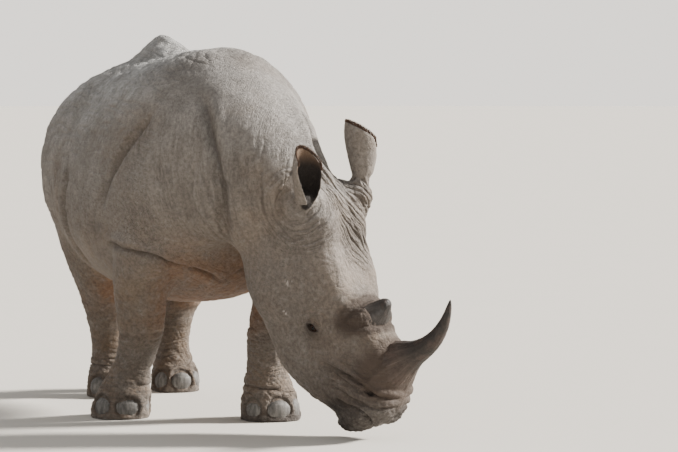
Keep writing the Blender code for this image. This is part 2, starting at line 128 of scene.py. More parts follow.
def lumps(places, size, seed):
    """Smooth noise from -1 to 1 in as many directions as places has, with lumps of about this size."""
    q = places / size
    cell = np.floor(q).astype(np.int64)
    f = q - cell
    f = f * f * (3 - 2 * f)
    total = np.zeros(len(places))
    sides = places.shape[1]
    for corner in range(2**sides):
        mixed = np.full(len(places), seed * 40503, np.int64)
        weight = np.ones(len(places))
        for k, prime in zip(range(sides), (73856093, 19349663, 83492791, 49979687)):
            step = (corner >> k) & 1
            mixed ^= (cell[:, k] + step) * prime
            weight *= f[:, k] if step else 1 - f[:, k]
        mixed = (mixed ^ (mixed >> 13)) * 1274126177
        total += (((mixed ^ (mixed >> 16)) & 0xFFFF) / 32767.5 - 1.0) * weight
    return total


def web(places, across, long, short, seed):
    """Broken creases that run where across is level: 1 in a crease and 0 between."""
    noise = lumps(np.column_stack((places / long, across / short)), 1.0, seed)
    return np.exp(-((noise / 0.17) ** 2))


def crease_profile(phase):
    """A row of narrow valleys, one for each turn of phase: -1 in the valleys and a little over 0 between."""
    wave = 0.5 + 0.5 * np.cos(phase)
    return 0.25 - 1.25 * wave**5


def line_distance(places, points):
    """How far each place is from a line, how far along the line that is, and the nearest place on it."""
    best = np.full(len(places), 1e9)
    along = np.zeros(len(places))
    foot = np.zeros_like(places)
    points = np.array(points, float)
    count = len(points) - 1
    for i in range(count):
        a, b = points[i], points[i + 1]
        run = b - a
        if not run.any():
            continue
        t = np.clip(((places - a) @ run) / (run @ run), 0.0, 1.0)
        near = a + t[:, None] * run
        d = np.linalg.norm(places - near, axis=1)
        closer = d < best
        best[closer] = d[closer]
        along[closer] = (i + t[closer]) / count
        foot[closer] = near[closer]
    return best, along, foot


def rounded(points, steps=6):
    """A smooth line through a few points."""
    points = [np.array(p, float) for p in points]
    out = []
    last = len(points) - 1
    for i in range(last):
        p, q, r, v = points[max(i - 1, 0)], points[i], points[i + 1], points[min(i + 2, last)]
        for k in range(steps):
            t = k / steps
            out.append(
                (
                    0.5
                    * (2 * q + (r - p) * t + (2 * p - 5 * q + 4 * r - v) * t**2 + (3 * q - p - 3 * r + v) * t**3)
                )
            )
    out.append(points[last])
    return out


# ---------------------------------------------------------------- meshes


def new_object(name, data):
    made = bpy.data.objects.new(name, data)
    bpy.context.scene.collection.objects.link(made)
    return made


def baked(made):
    """Replaces an object's mesh by the one its modifiers make."""
    view = bpy.context.evaluated_depsgraph_get()
    view.update()
    data = bpy.data.meshes.new_from_object(made.evaluated_get(view))
    made.modifiers.clear()
    old = made.data
    made.data = data
    bpy.data.meshes.remove(old)


def places_of(data):
    flat = np.empty(len(data.vertices) * 3, np.float32)
    data.vertices.foreach_get("co", flat)
    return flat.reshape(-1, 3).astype(float)


def set_places(data, places):
    data.vertices.foreach_set("co", places.astype(np.float32).ravel())
    data.update()


def normals_of(data):
    flat = np.empty(len(data.vertices) * 3, np.float32)
    data.vertex_normals.foreach_get("vector", flat)
    return flat.reshape(-1, 3).astype(float)


def edges_of(data):
    flat = np.empty(len(data.edges) * 2, np.int32)
    data.edges.foreach_get("vertices", flat)
    return flat.reshape(-1, 2)


def eased(places, edges, share, rounds):
    """Moves each place its share of the way to the middle of its neighbours, again and again."""
    count = len(places)
    ends = np.concatenate((edges[:, 0], edges[:, 1]))
    others = np.concatenate((edges[:, 1], edges[:, 0]))
    reach = np.maximum(np.bincount(ends, minlength=count), 1)
    for _ in range(rounds):
        middle = np.stack(
            [np.bincount(ends, places[others, k], minlength=count) / reach for k in range(3)],
            axis=1,
        )
        places = places + share[:, None] * (middle - places)
    return places


def firm(places, edges, rounds):
    """Smooths without shrinking: each easing is followed by one that swells as much again."""
    count = np.ones(len(places))
    for _ in range(rounds):
        places = eased(places, edges, 0.50 * count, 1)
        places = eased(places, edges, -0.51 * count, 1)
    return places


def add_mask(data, name, values):
    layer = data.attributes.new(name, "FLOAT", "POINT")
    layer.data.foreach_set("value", values.astype(np.float32))


def joined_copy(name, nodes, swell=0.0):
    """One object holding copies of these solids, each swollen a little along its normals."""
    points, faces, start = [], [], 0
    for node in nodes:
        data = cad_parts[node].data
        points.append(places_of(data))
        faces.extend([[start + i for i in polygon.vertices] for polygon in data.polygons])
        start += len(points[-1])
    data = bpy.data.meshes.new(name)
    data.from_pydata(np.concatenate(points).tolist(), [], faces)
    bm = bmesh.new()
    bm.from_mesh(data)
    bmesh.ops.remove_doubles(bm, verts=bm.verts, dist=1e-5)
    bm.to_mesh(data)
    bm.free()
    set_places(data, places_of(data) + normals_of(data) * swell)
    return new_object(name, data)


def melt(made, size):
    """Makes one closed mesh of everything in an object, out of cells of this size."""
    step = made.modifiers.new("melt", "REMESH")
    step.mode = "VOXEL"
    step.voxel_size = size
    baked(made)


def refine(made, wanted):
    """Splits the faces whose middle is wanted into four."""
    data = made.data
    places = places_of(data)
    keep = wanted(places)
    bm = bmesh.new()
    bm.from_mesh(data)
    bm.verts.ensure_lookup_table()
    edges = [e for e in bm.edges if keep[e.verts[0].index] and keep[e.verts[1].index]]
    bmesh.ops.subdivide_edges(bm, edges=edges, cuts=1, use_grid_fill=True)
    bm.to_mesh(data)
    bm.free()


# ---------------------------------------------------------------- the ears

EAR_FOOT = 0.045
# Each ear: its root as s, n and r, the way it points, the way it opens, where its tip sits, and its length.
EARS = {
    "right": ((0.053, -0.083, 0.198), (0.585, 0.032, 0.81), (0.86, 0.48, -0.20), 0.30, 0.279),
    "left": ((0.01, 0.015, -0.182), (-0.05, 0.06, 0.99), (-0.60, 0.78, 0.0), -0.50, 0.292),
}


def ear_frame(side):
    """An ear's root, the way it points, the way its opening faces and the way across it."""
    root, point, opening = EARS[side][:3]
    point = np.array(point) / np.linalg.norm(point)
    across = np.cross(point, opening)
    across /= np.linalg.norm(across)
    return on_head(*root), point, np.cross(across, point), across


def ear_radius(t):
    """How far an ear's wall stands from its axis at t of its length."""
    return 0.030 + 0.047 * np.sin(np.clip(t / 0.85, 0.0, 1.0) * math.pi / 2) - 0.05 * np.maximum(t - 0.8, 0.0)


def ear_leaf(side, u, v):
    """A place on the middle of an ear's wall: u from root to tip, v from edge to edge, -1 to 1."""
    root, point, opening, across = ear_frame(side)
    tip, length = EARS[side][3:]
    height = EAR_FOOT + (length - EAR_FOOT) * u * (1 - 0.30 * (abs(v - tip) / (1 + abs(tip))) ** 1.7 * u)
    t = height / length
    turn = math.pi + v * math.radians(170 - 80 * min(t / 0.75, 1.0) - 6 * t)
    place = root + point * height + (opening * math.cos(turn) + across * math.sin(turn)) * ear_radius(t)
    return place + opening * (0.012 - 0.040 * t * t)


def ear_rim(side, t):
    """A place on an ear's rim, from the foot of one edge at 0 over the tip to the foot of the other at 1."""
    if t < 0.36:
        return ear_leaf(side, t / 0.36, -1.0)
    if t > 0.64:
        return ear_leaf(side, (1 - t) / 0.36, 1.0)
    return ear_leaf(side, 1.0, (t - 0.5) / 0.14)


# ---------------------------------------------------------------- folds of the skin

# Lines of deep folds on the right side of the trunk, as places from the floor under the withers.
SHOULDER_FOLD = [
    (0.13, -0.38, 1.52), (0.09, -0.43, 1.43), (-0.04, -0.49, 1.31), (-0.17, -0.54, 1.18),
    (-0.26, -0.55, 1.07), (-0.30, -0.54, 0.97),
]
ELBOW_FOLD = [
    (-0.34, -0.50, 0.84), (-0.20, -0.51, 0.85), (-0.05, -0.48, 0.83), (0.05, -0.37, 0.80),
    (0.02, -0.25, 0.74), (0.0, -0.11, 0.70), (-0.10, 0.02, 0.64),
]
FLANK_FOLD = [(-0.72, -0.60, 1.20), (-0.80, -0.58, 1.02), (-0.86, -0.52, 0.85), (-0.88, -0.42, 0.70)]
NECK_FOLD = [
    (0.32, -0.25, 1.62), (0.38, -0.23, 1.52), (0.48, -0.22, 1.32), (0.49, -0.18, 1.14),
    (0.41, -0.14, 0.97), (0.30, -0.09, 0.87),
]
BREAST_FOLD = [(0.46, -0.22, 1.28), (0.46, -0.20, 1.12), (0.40, -0.14, 0.97), (0.28, -0.08, 0.86)]
# Lines of folds on the right side of the head, as s, n and r.
BROW_FOLD = [
    (0.47, -0.34, 0.20), (0.485, -0.29, 0.205), (0.50, -0.24, 0.20), (0.55, -0.205, 0.19),
    (0.60, -0.20, 0.17),
]
LOBE_FOLD = [
    (0.69, -0.36, 0.16), (0.74, -0.325, 0.155), (0.83, -0.25, 0.15), (0.90, -0.195, 0.148),
    (0.955, -0.165, 0.135), (0.99, -0.145, 0.10), (1.005, -0.13, 0.05), (1.01, -0.125, 0.0),
]
CHEEK_FOLD = [
    (0.76, -0.32, 0.155), (0.80, -0.30, 0.15), (0.86, -0.265, 0.15), (0.92, -0.225, 0.15),
    (0.97, -0.19, 0.14),
]
LIP_FOLD = [
    (0.80, -0.37, 0.145), (0.85, -0.34, 0.145), (0.92, -0.285, 0.15), (0.98, -0.235, 0.15),
    (1.03, -0.18, 0.13), (1.045, -0.15, 0.07), (1.045, -0.14, 0.0),
]
MOUTH = [
    (0.89, -0.365, 0.145), (0.93, -0.34, 0.145), (0.97, -0.29, 0.15), (1.01, -0.255, 0.145),
    (1.04, -0.245, 0.13), (1.07, -0.26, 0.10), (1.075, -0.28, 0.05), (1.075, -0.285, 0.0),
]
NOSTRIL = (0.945, -0.185, 0.145)
# Each fold: its line, depth, width, its lip's height and side, how much of each end fades, and the strength of
# the painted shade in its crease.
TRUNK_FOLDS = (
    (SHOULDER_FOLD, 0.034, 0.027, 0.014, (0.6, 0.0, 0.5), 0.30, 0.55),
    (ELBOW_FOLD, 0.022, 0.016, 0.018, (0.0, 0.0, 1.0), 0.12, 1.0),
    (FLANK_FOLD, 0.014, 0.022, 0.010, (-1.0, 0.0, 0.0), 0.12, 0.5),
    (NECK_FOLD, 0.046, 0.026, 0.024, (1.0, -0.2, 0.0), 0.35, 0.60),
    (BREAST_FOLD, 0.010, 0.014, 0.008, (0.5, -0.5, 0.0), 0.12, 0.5),
)
HEAD_FOLDS = (
    (BROW_FOLD, 0.004, 0.009, 0.003, AHEAD, 0.12, 0.25),
    (LOBE_FOLD, 0.017, 0.010, 0.008, OUT, 0.25, 1.0),
    (CHEEK_FOLD, 0.007, 0.007, 0.003, OUT, 0.30, 1.0),
    (LIP_FOLD, 0.010, 0.008, 0.005, OUT, 0.25, 1.0),
    (MOUTH, 0.018, 0.009, 0.008, OUT, 0.08, 1.0),
)


class Hide:
    """The skin's places while it is worked on, and the masks that its colours read."""

    def __init__(self, data):
        self.data = data
        self.places = places_of(data)
        self.rest = self.places.copy()
        self.normals = normals_of(data)
        self.trunk = self.places - WITHERS
        self.head = head_places(self.places)
        # The masks crease, ear_inside, eye_rim and hole mark where painted shade is laid on the skin.
        self.masks = {
            name: np.zeros(len(self.places)) for name in ("crease", "ear_inside", "eye_rim", "hole")
        }
        self.grains = []

    def settle(self):
        """Gives the mesh its new places and reads its normals again."""
        set_places(self.data, self.places)
        self.normals = normals_of(self.data)

    def push(self, height):
        """Moves every place along its normal."""
        self.places = self.places + self.normals * height[:, None]

    def mark(self, name, amount):
        self.masks[name] = np.maximum(self.masks[name], amount)

    def distance(self, nodes, where):
        """How far the skin is from these parts where it is asked for, and 1 elsewhere."""
        away = np.ones(len(self.rest))
        near = np.nonzero(where)[0]
        for node in nodes:
            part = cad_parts[node].data
            tree = BVHTree.FromPolygons([v.co for v in part.vertices], [p.vertices for p in part.polygons])
            found = [tree.find_nearest(place, 0.12)[3] for place in self.rest[near].tolist()]
            away[near] = np.minimum(away[near], [1.0 if d is None else d for d in found])
        return away

    def laid(self, points):
        """A rounded line through these points, laid on the skin."""
        line = rounded(points)
        low, high = np.min(line, axis=0) - 0.05, np.max(line, axis=0) + 0.05
        near = self.places[np.all((self.places > low) & (self.places < high), axis=1)]
        line = np.array([near[np.argmin(((near - point) ** 2).sum(axis=1))] for point in line])
        line[1:-1] = (line[:-2] + line[1:-1] + line[2:]) / 3
        return line

    def fold(self, points, depth, width, lip, up, fade, shade):
        """A valley along a line, and a swollen lip on the side that up points to."""
        line = self.laid(points)
        low = np.min(line, axis=0) - 4 * width
        high = np.max(line, axis=0) + 4 * width
        near = np.nonzero(np.all((self.places > low) & (self.places < high), axis=1))[0]
        distance, along, foot = line_distance(self.places[near], line)
        ends = ramp(along, 0.0, fade) * ramp(along, 1.0, 1.0 - fade)
        height = np.zeros(len(self.places))
        height[near] = -depth * np.exp(-((distance / width) ** 2)) * ends
        over = ((self.places[near] - foot) @ np.array(up)) / np.maximum(distance, 1e-6)
        swell = np.exp(-(((distance - 2.0 * width) / (1.5 * width)) ** 2)) * ends
        height[near] += lip * swell * np.clip(over, 0.0, 1.0)
        self.push(height)
        # Painted shade along the valley's bottom.
        dark = np.zeros(len(self.places))
        dark[near] = shade * np.exp(-((distance / (0.55 * width)) ** 2)) * ends
        self.mark("crease", dark)

    def pleats(self, phase, depth, mask, shade=0.6):
        """Rows of narrow wrinkles where mask is over 0."""
        profile = crease_profile(phase)
        self.push(depth * mask * profile)
        # Painted shade in the wrinkles.
        self.mark("crease", shade * mask * np.clip(-profile, 0.0, 1.0))

    def wrinkle(self, across, long, short, depth, mask, seed, shade=0.5):
        """Broken wrinkles along the lines where across is level."""
        here = np.nonzero(mask > 0.01)[0]
        crease = web(self.rest[here], across[here], long, short, seed)
        height = np.zeros(len(self.places))
        height[here] = depth * mask[here] * (0.35 - crease)
        self.push(height)
        # Painted shade in the wrinkles.
        dark = np.zeros(len(self.places))
        dark[here] = shade * mask[here] * crease
        self.mark("crease", dark)

    def grain(self, across, mask):
        """Keeps the way that the finest lines run where mask is the greatest."""
        self.grains.append((across, mask))

    def finished_grain(self):
        """The finest lines' measure, and how strong they are: nothing where two ways meet."""
        across = np.stack([a for a, _ in self.grains])
        masks = np.stack([m for _, m in self.grains])
        order = np.argsort(masks, axis=0)
        each = np.arange(across.shape[1])
        best, second = order[-1], order[-2]
        return across[best, each], np.clip((masks[best, each] - masks[second, each]) * 2.5, 0.0, 1.0)


def both_sides(points, mirrored):
    """The line itself, and the same line on the other side of the animal."""
    yield points
    yield [mirrored(p) for p in points]


def trunk_line(points):
    return [WITHERS + np.array(p) for p in points]


def head_line(points):
    return [on_head(*p) for p in points]


def other_flank(p):
    return (p[0], -p[1], p[2])


def other_cheek(p):
    return (p[0], p[1], -p[2])


def sideways(hide):
    """A level measure along and across the trunk, the same on both sides of the animal."""
    x, y, _ = hide.trunk.T
    return 0.342 * x + 0.94 * np.where(y > 0, -y, y)


def swell_muscles(hide):
    """Soft rises and hollows: the shoulder blade, the ribs, the hollow of the flank and the thigh."""
    x, y, z = hide.trunk.T
    side = np.abs(y)
    height = 0.010 * hill(x, -0.02, 0.22) * hill(z, 1.30, 0.30) * ramp(side, 0.25, 0.40)
    height -= 0.010 * hill(x, -0.75, 0.22) * hill(z, 1.45, 0.18) * ramp(side, 0.2, 0.4)
    height += 0.010 * hill(x, -1.30, 0.25) * hill(z, 1.15, 0.30) * ramp(side, 0.3, 0.45)
    height += 0.0035 * np.sin(x * 2 * math.pi / 0.16 + 1.5 * z) * hill(x, -0.62, 0.30) * hill(z, 1.05, 0.28)
    height += 0.004 * lumps(hide.rest, 0.14, 3) + 0.002 * lumps(hide.rest, 0.06, 4)
    hide.push(height * hide.plain * hide.ground - 0.002)


def fold_trunk(hide):
    """The deep folds of the trunk and the neck, and the wrinkles between them."""
    for line, *shape in TRUNK_FOLDS:
        for points in both_sides(line, other_flank):
            hide.fold(trunk_line(points), *shape)
    hide.settle()
    x, y, z = hide.trunk.T
    side = sideways(hide)
    wander = lumps(hide.rest, 0.11, 11)
    # Upright folds where the neck meets the breast.
    across = 0.80 * x + 0.55 * y
    neck = ramp(x, 0.12, 0.26) * hide.neck
    lower = neck * ramp(z, 1.40, 1.10) * ramp(z, 0.60, 0.75)
    hide.wrinkle(across + 0.010 * wander, 0.26, 0.045, 0.015, lower * (0.6 + 0.4 * wander), 12, 0.60)
    hide.wrinkle(across + 0.006 * wander, 0.12, 0.017, 0.0036, neck * ramp(z, 1.60, 1.25), 13, 0.40)
    hide.grain(across, neck)
    # The skin over the elbow is cracked into pebbles, and that of the trunk is only faintly lined.
    pebbles = hill(x, 0.02, 0.26) * hill(z, 0.97, 0.16) * ramp(np.abs(y), 0.1, 0.25) * hide.plain * (1 - neck)
    hide.wrinkle(side * 0.0, 0.030, 1.0, 0.0035, pebbles, 14, 0.35)
    trunk = ramp(x, 0.35, 0.15) * ramp(z, 0.75, 0.95) * (1 - pebbles) * (1 - neck)
    hide.wrinkle(z + 0.25 * side + 0.012 * wander, 0.16, 0.030, 0.0038, trunk, 15, 0.30)
    hide.wrinkle(side - 0.3 * z + 0.012 * wander, 0.12, 0.040, 0.0036, trunk, 16, 0.28)
    rump = ramp(x, -1.15, -1.45) * ramp(z, 0.6, 0.8)
    hide.wrinkle(x - 0.35 * z + 0.010 * wander, 0.30, 0.045, 0.0040, rump, 17, 0.25)
    hide.grain(z + 0.25 * side, 0.55 * trunk)
    hide.masks["pebbles"] = pebbles


def fold_legs(hide):
    """Slanting wrinkles on the upper legs, rings of wrinkles below, and three toes to each foot."""
    z = hide.trunk[:, 2]
    wander = lumps(hide.rest, 0.07, 21)
    side = sideways(hide)
    upper = hide.legs * ramp(z, 0.34, 0.50)
    lower = hide.legs * ramp(z, 0.52, 0.38)
    slant = 0.62 * side + 0.78 * z + 0.008 * wander
    hide.wrinkle(slant, 0.09, 0.020, 0.0034, upper, 22, 0.22)
    hide.wrinkle(0.9 * side - 0.45 * z, 0.06, 0.026, 0.0022, hide.legs, 23, 0.15)
    hide.wrinkle(z + 0.2 * side + 0.008 * wander, 0.09, 0.018, 0.0034, lower, 24, 0.25)
    for level, depth in ((0.42, 0.007), (0.16, 0.009)):
        hide.wrinkle(z, 0.16, 0.030, depth, hill(z, level, 0.05) * hide.legs, 25, 0.45)
    hide.grain(slant, upper)
    hide.grain(z + 0.2 * side, lower)
    hide.settle()
    away = hide.distance([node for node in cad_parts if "nail" in node], z < 0.16)
    hide.push((0.006 * hill(away, 0.030, 0.014) - 0.008 * ramp(away, 0.021, 0.012)) * hide.ground)
    # Painted shade round each toenail's rim.
    hide.mark("crease", 0.8 * hill(away, 0.015, 0.006) * (z < 0.16))


def fold_head(hide):
    """The folds of the brow, the cheeks, the lips and the mouth, and the wrinkles between them."""
    s, n, r = hide.head.T
    wander = lumps(hide.rest, 0.05, 31)
    wide = lumps(hide.rest, 0.12, 32)
    plain = hide.plain * ramp(s, -0.16, -0.06)
    for line, *shape in HEAD_FOLDS:
        for points in both_sides(line, other_cheek):
            hide.fold(head_line(points), *shape)
    hide.settle()
    rings = np.zeros(len(s))
    # Rings round the ears' roots.
    for ear, reach in (("right", 0.27), ("left", 0.16)):
        root = ear_frame(ear)[0]
        away = np.linalg.norm(hide.rest - root, axis=1)
        here = ramp(away, 0.055, 0.08) * ramp(away, reach, reach * 0.6) * hide.plain
        hide.wrinkle(away + 0.006 * wander, 0.11, 0.0135, 0.0045, here, 33, 0.55)
        hide.grain(away, here)
        rings = np.maximum(rings, here)
    # Slanting folds over the brow, deepest towards the left ear.
    slant = 0.576 * s + 0.817 * r + 0.008 * wander
    brow = ramp(n, -0.18, -0.09) * ramp(s, 0.44, 0.24) * ramp(r, 0.14, 0.03) * plain
    hide.pleats(
        slant * 2 * math.pi / 0.026 + 1.2 * wide, 0.0070,
        brow * (0.60 + 0.40 * wide) * ramp(r, 0.10, -0.02), 0.70,
    )
    hide.wrinkle(slant, 0.10, 0.014, 0.0050, brow, 34, 0.55)
    crown = ramp(n, -0.15, -0.06) * ramp(s, 0.30, 0.10) * plain * (1 - rings) * ramp(r, -0.02, 0.06)
    hide.wrinkle(s + 0.006 * wander, 0.07, 0.013, 0.0040, crown, 35, 0.5)
    hide.grain(slant, 1.1 * brow * ramp(r, 0.06, -0.02))
    hide.grain(s, crown)
    # The face is covered in a fine web, and the eyes' bags hang in arcs.
    face = plain * ramp(s, 0.10, 0.25) * (1 - rings)
    hide.wrinkle(0.0 * s, 0.034, 1.0, 0.0016, face, 36, 0.18)
    hide.wrinkle(n - 0.5 * s + 0.01 * wander, 0.10, 0.026, 0.0020, face * ramp(n, -0.12, -0.20), 37, 0.22)
    for eye in (EYE_RIGHT, EYE_LEFT):
        q = hide.rest - eye
        away = np.linalg.norm(q, axis=1)
        arcs = ramp(away, 0.028, 0.04) * ramp(away, 0.115, 0.06)
        hide.wrinkle(away + 0.010 * wander, 0.05, 0.0115, 0.0034, arcs * (0.6 + 0.4 * wide), 38, 0.30)
        hide.grain(away, arcs)
    # Long slanting folds from the cheek to the nose and round the lips.
    along = 0.74 * s - 0.67 * n + 0.006 * wander
    muzzle = ramp(s, 0.68, 0.84) * ramp(n, -0.13, -0.20) * plain
    hide.wrinkle(along, 0.16, 0.024, 0.0060, muzzle, 39, 0.5)
    hide.wrinkle(along, 0.08, 0.011, 0.0024, muzzle, 40, 0.3)
    hide.grain(along, muzzle)
    hide.push(0.0025 * lumps(hide.rest, 0.012, 41) * ramp(s, 0.93, 1.0) * ramp(n, -0.10, -0.16))
    # Crumbled skin at the rear horn's foot.
    foot = hill(s, 0.62, 0.13) * ramp(n, -0.16, -0.11) * plain
    hide.push(0.0022 * lumps(hide.rest, 0.013, 42) * foot)
    hide.masks["crumbs"] = foot
    scar = np.zeros(len(s))
    for place, size in (
        ((0.33, -0.30, 0.20), 0.030), ((0.37, -0.22, 0.17), 0.022), ((0.44, -0.40, 0.19), 0.018),
    ):
        away = np.linalg.norm(hide.head - place, axis=1)
        scar = np.maximum(scar, ramp(away, size, 0.3 * size) * ramp(lumps(hide.rest, 0.010, 44), 0.10, 0.35))
    hide.masks["scar"] = scar


def meet_horns(hide):
    """The skin rises to a soft collar round each horn, with a crease where they meet."""
    s, n, _ = hide.head.T
    away = hide.distance(("horn_front", "horn_rear"), (s > 0.40) & (n > -0.35))
    front = ramp(s, 0.70, 0.78)
    rough = 1 + 0.45 * lumps(hide.rest, 0.020, 43)
    hide.push(
        (
            (0.0035 * front + 0.0090 * (1 - front) * rough) * hill(away, 0.014, 0.014) - 0.003
            * ramp(away, 0.006, 0.0)
        ),
    )
    # Painted shade in the crease at each horn's foot.
    hide.mark("crease", 0.75 * ramp(away, 0.007, 0.001))
    hide.masks["horny"] = np.maximum(
        ramp(away, 0.085, 0.004) * front, 0.9 * ramp(away, 0.050, 0.010) * (1 - front)
    )
    hide.masks["crumbs"] = np.maximum(hide.masks["crumbs"], ramp(away, 0.05, 0.01) * (1 - front))


def shape_eyes(hide):
    """An almond opening over each eyeball between two lids."""
    for turn, eye in ((1, EYE_RIGHT), (-1, EYE_LEFT)):
        q = hide.rest - eye
        out = -LEFT * turn
        along = q @ AHEAD
        rise = q @ OUT
        across = along * 0.83 + rise * 0.56
        over = rise * 0.83 - along * 0.56
        near = (np.linalg.norm(q, axis=1) < 0.10) & (q @ out > -0.01)
        almond = np.sqrt(
            (across / 0.027) ** 2 + (over / (0.0145 * (1 - 0.35 * (across / 0.027) ** 2).clip(0.3, 1))) ** 2,
        )
        inside = ramp(almond, 1.15, 0.80) * near
        round_eye = np.sqrt(across**2 + over**2)
        cover = ramp(round_eye, 0.055, 0.030) * near
        lids = (
            (hill(round_eye, 0.027, 0.010) * (over > 0) * 1.2 + hill(round_eye, 0.024, 0.008) * (over <= 0))
            * near
        )
        hide.push(
            (
                0.0050 * cover + 0.004 * lids + 0.004 * hill(over, 0.022, 0.012)
                * hill(across, 0.0, 0.030) * near
            ),
        )
        hide.places = hide.places - out * (inside * 0.030)[:, None]
        # Painted shade in the fold over each eye.
        hide.mark("crease", 0.35 * hill(round_eye, 0.034, 0.005) * (over > 0) * near)
        # Painted shade at the rim of the opening, and a soft dark patch round and a little below it.
        hide.mark(
            "eye_rim",
            (
                np.maximum(ramp(almond, 1.8, 1.15), 0.75 * ramp(np.hypot(across, over + 0.010), 0.060, 0.018))
                * near
            ),
        )


def shape_nostrils(hide):
    """A slanting slit with a soft rim on each side of the muzzle."""
    for turn in (1, -1):
        middle = on_head(NOSTRIL[0], NOSTRIL[1], NOSTRIL[2] * turn)
        q = hide.rest - middle
        along = q @ (AHEAD * 0.67 + OUT * 0.74)
        across = q @ (AHEAD * 0.74 - OUT * 0.67)
        near = np.abs(q @ LEFT) < 0.09
        hole = np.exp(-((along / 0.026) ** 2) - (across / 0.008) ** 2) * near
        rim = np.exp(-(((np.sqrt((along / 2.4) ** 2 + across**2) - 0.018) / 0.008) ** 2)) * near
        hide.push(-0.022 * hole + 0.004 * rim)
        # Painted shade in the slit.
        hide.mark("hole", ramp(hole, 0.12, 0.55))


def ear_masks(places):
    """Where the skin is an ear, and where it is an ear's inside."""
    ears = np.zeros(len(places))
    inner = np.zeros(len(places))
    outer_end = np.zeros(len(places))
    for side in EARS:
        root, point, opening, _ = ear_frame(side)
        length = EARS[side][4]
        q = places - root
        height = q @ point
        t = height / length
        q = q - height[:, None] * point - opening * (0.012 - 0.040 * t * t)[:, None]
        offset = np.linalg.norm(q, axis=1)
        here = (offset < 0.12) * (t < 1.1)
        ears = np.maximum(ears, ramp(height, 0.02, 0.06) * here)
        # The ear's inside, where painted shade goes.
        inner = np.maximum(
            inner, ramp(height, -0.005, 0.012) * here * ramp(ear_radius(t) - offset, -0.002, 0.003)
        )
        outer_end = np.maximum(outer_end, ramp(t, 0.62, 0.92) * here)
    return ears, inner, outer_end


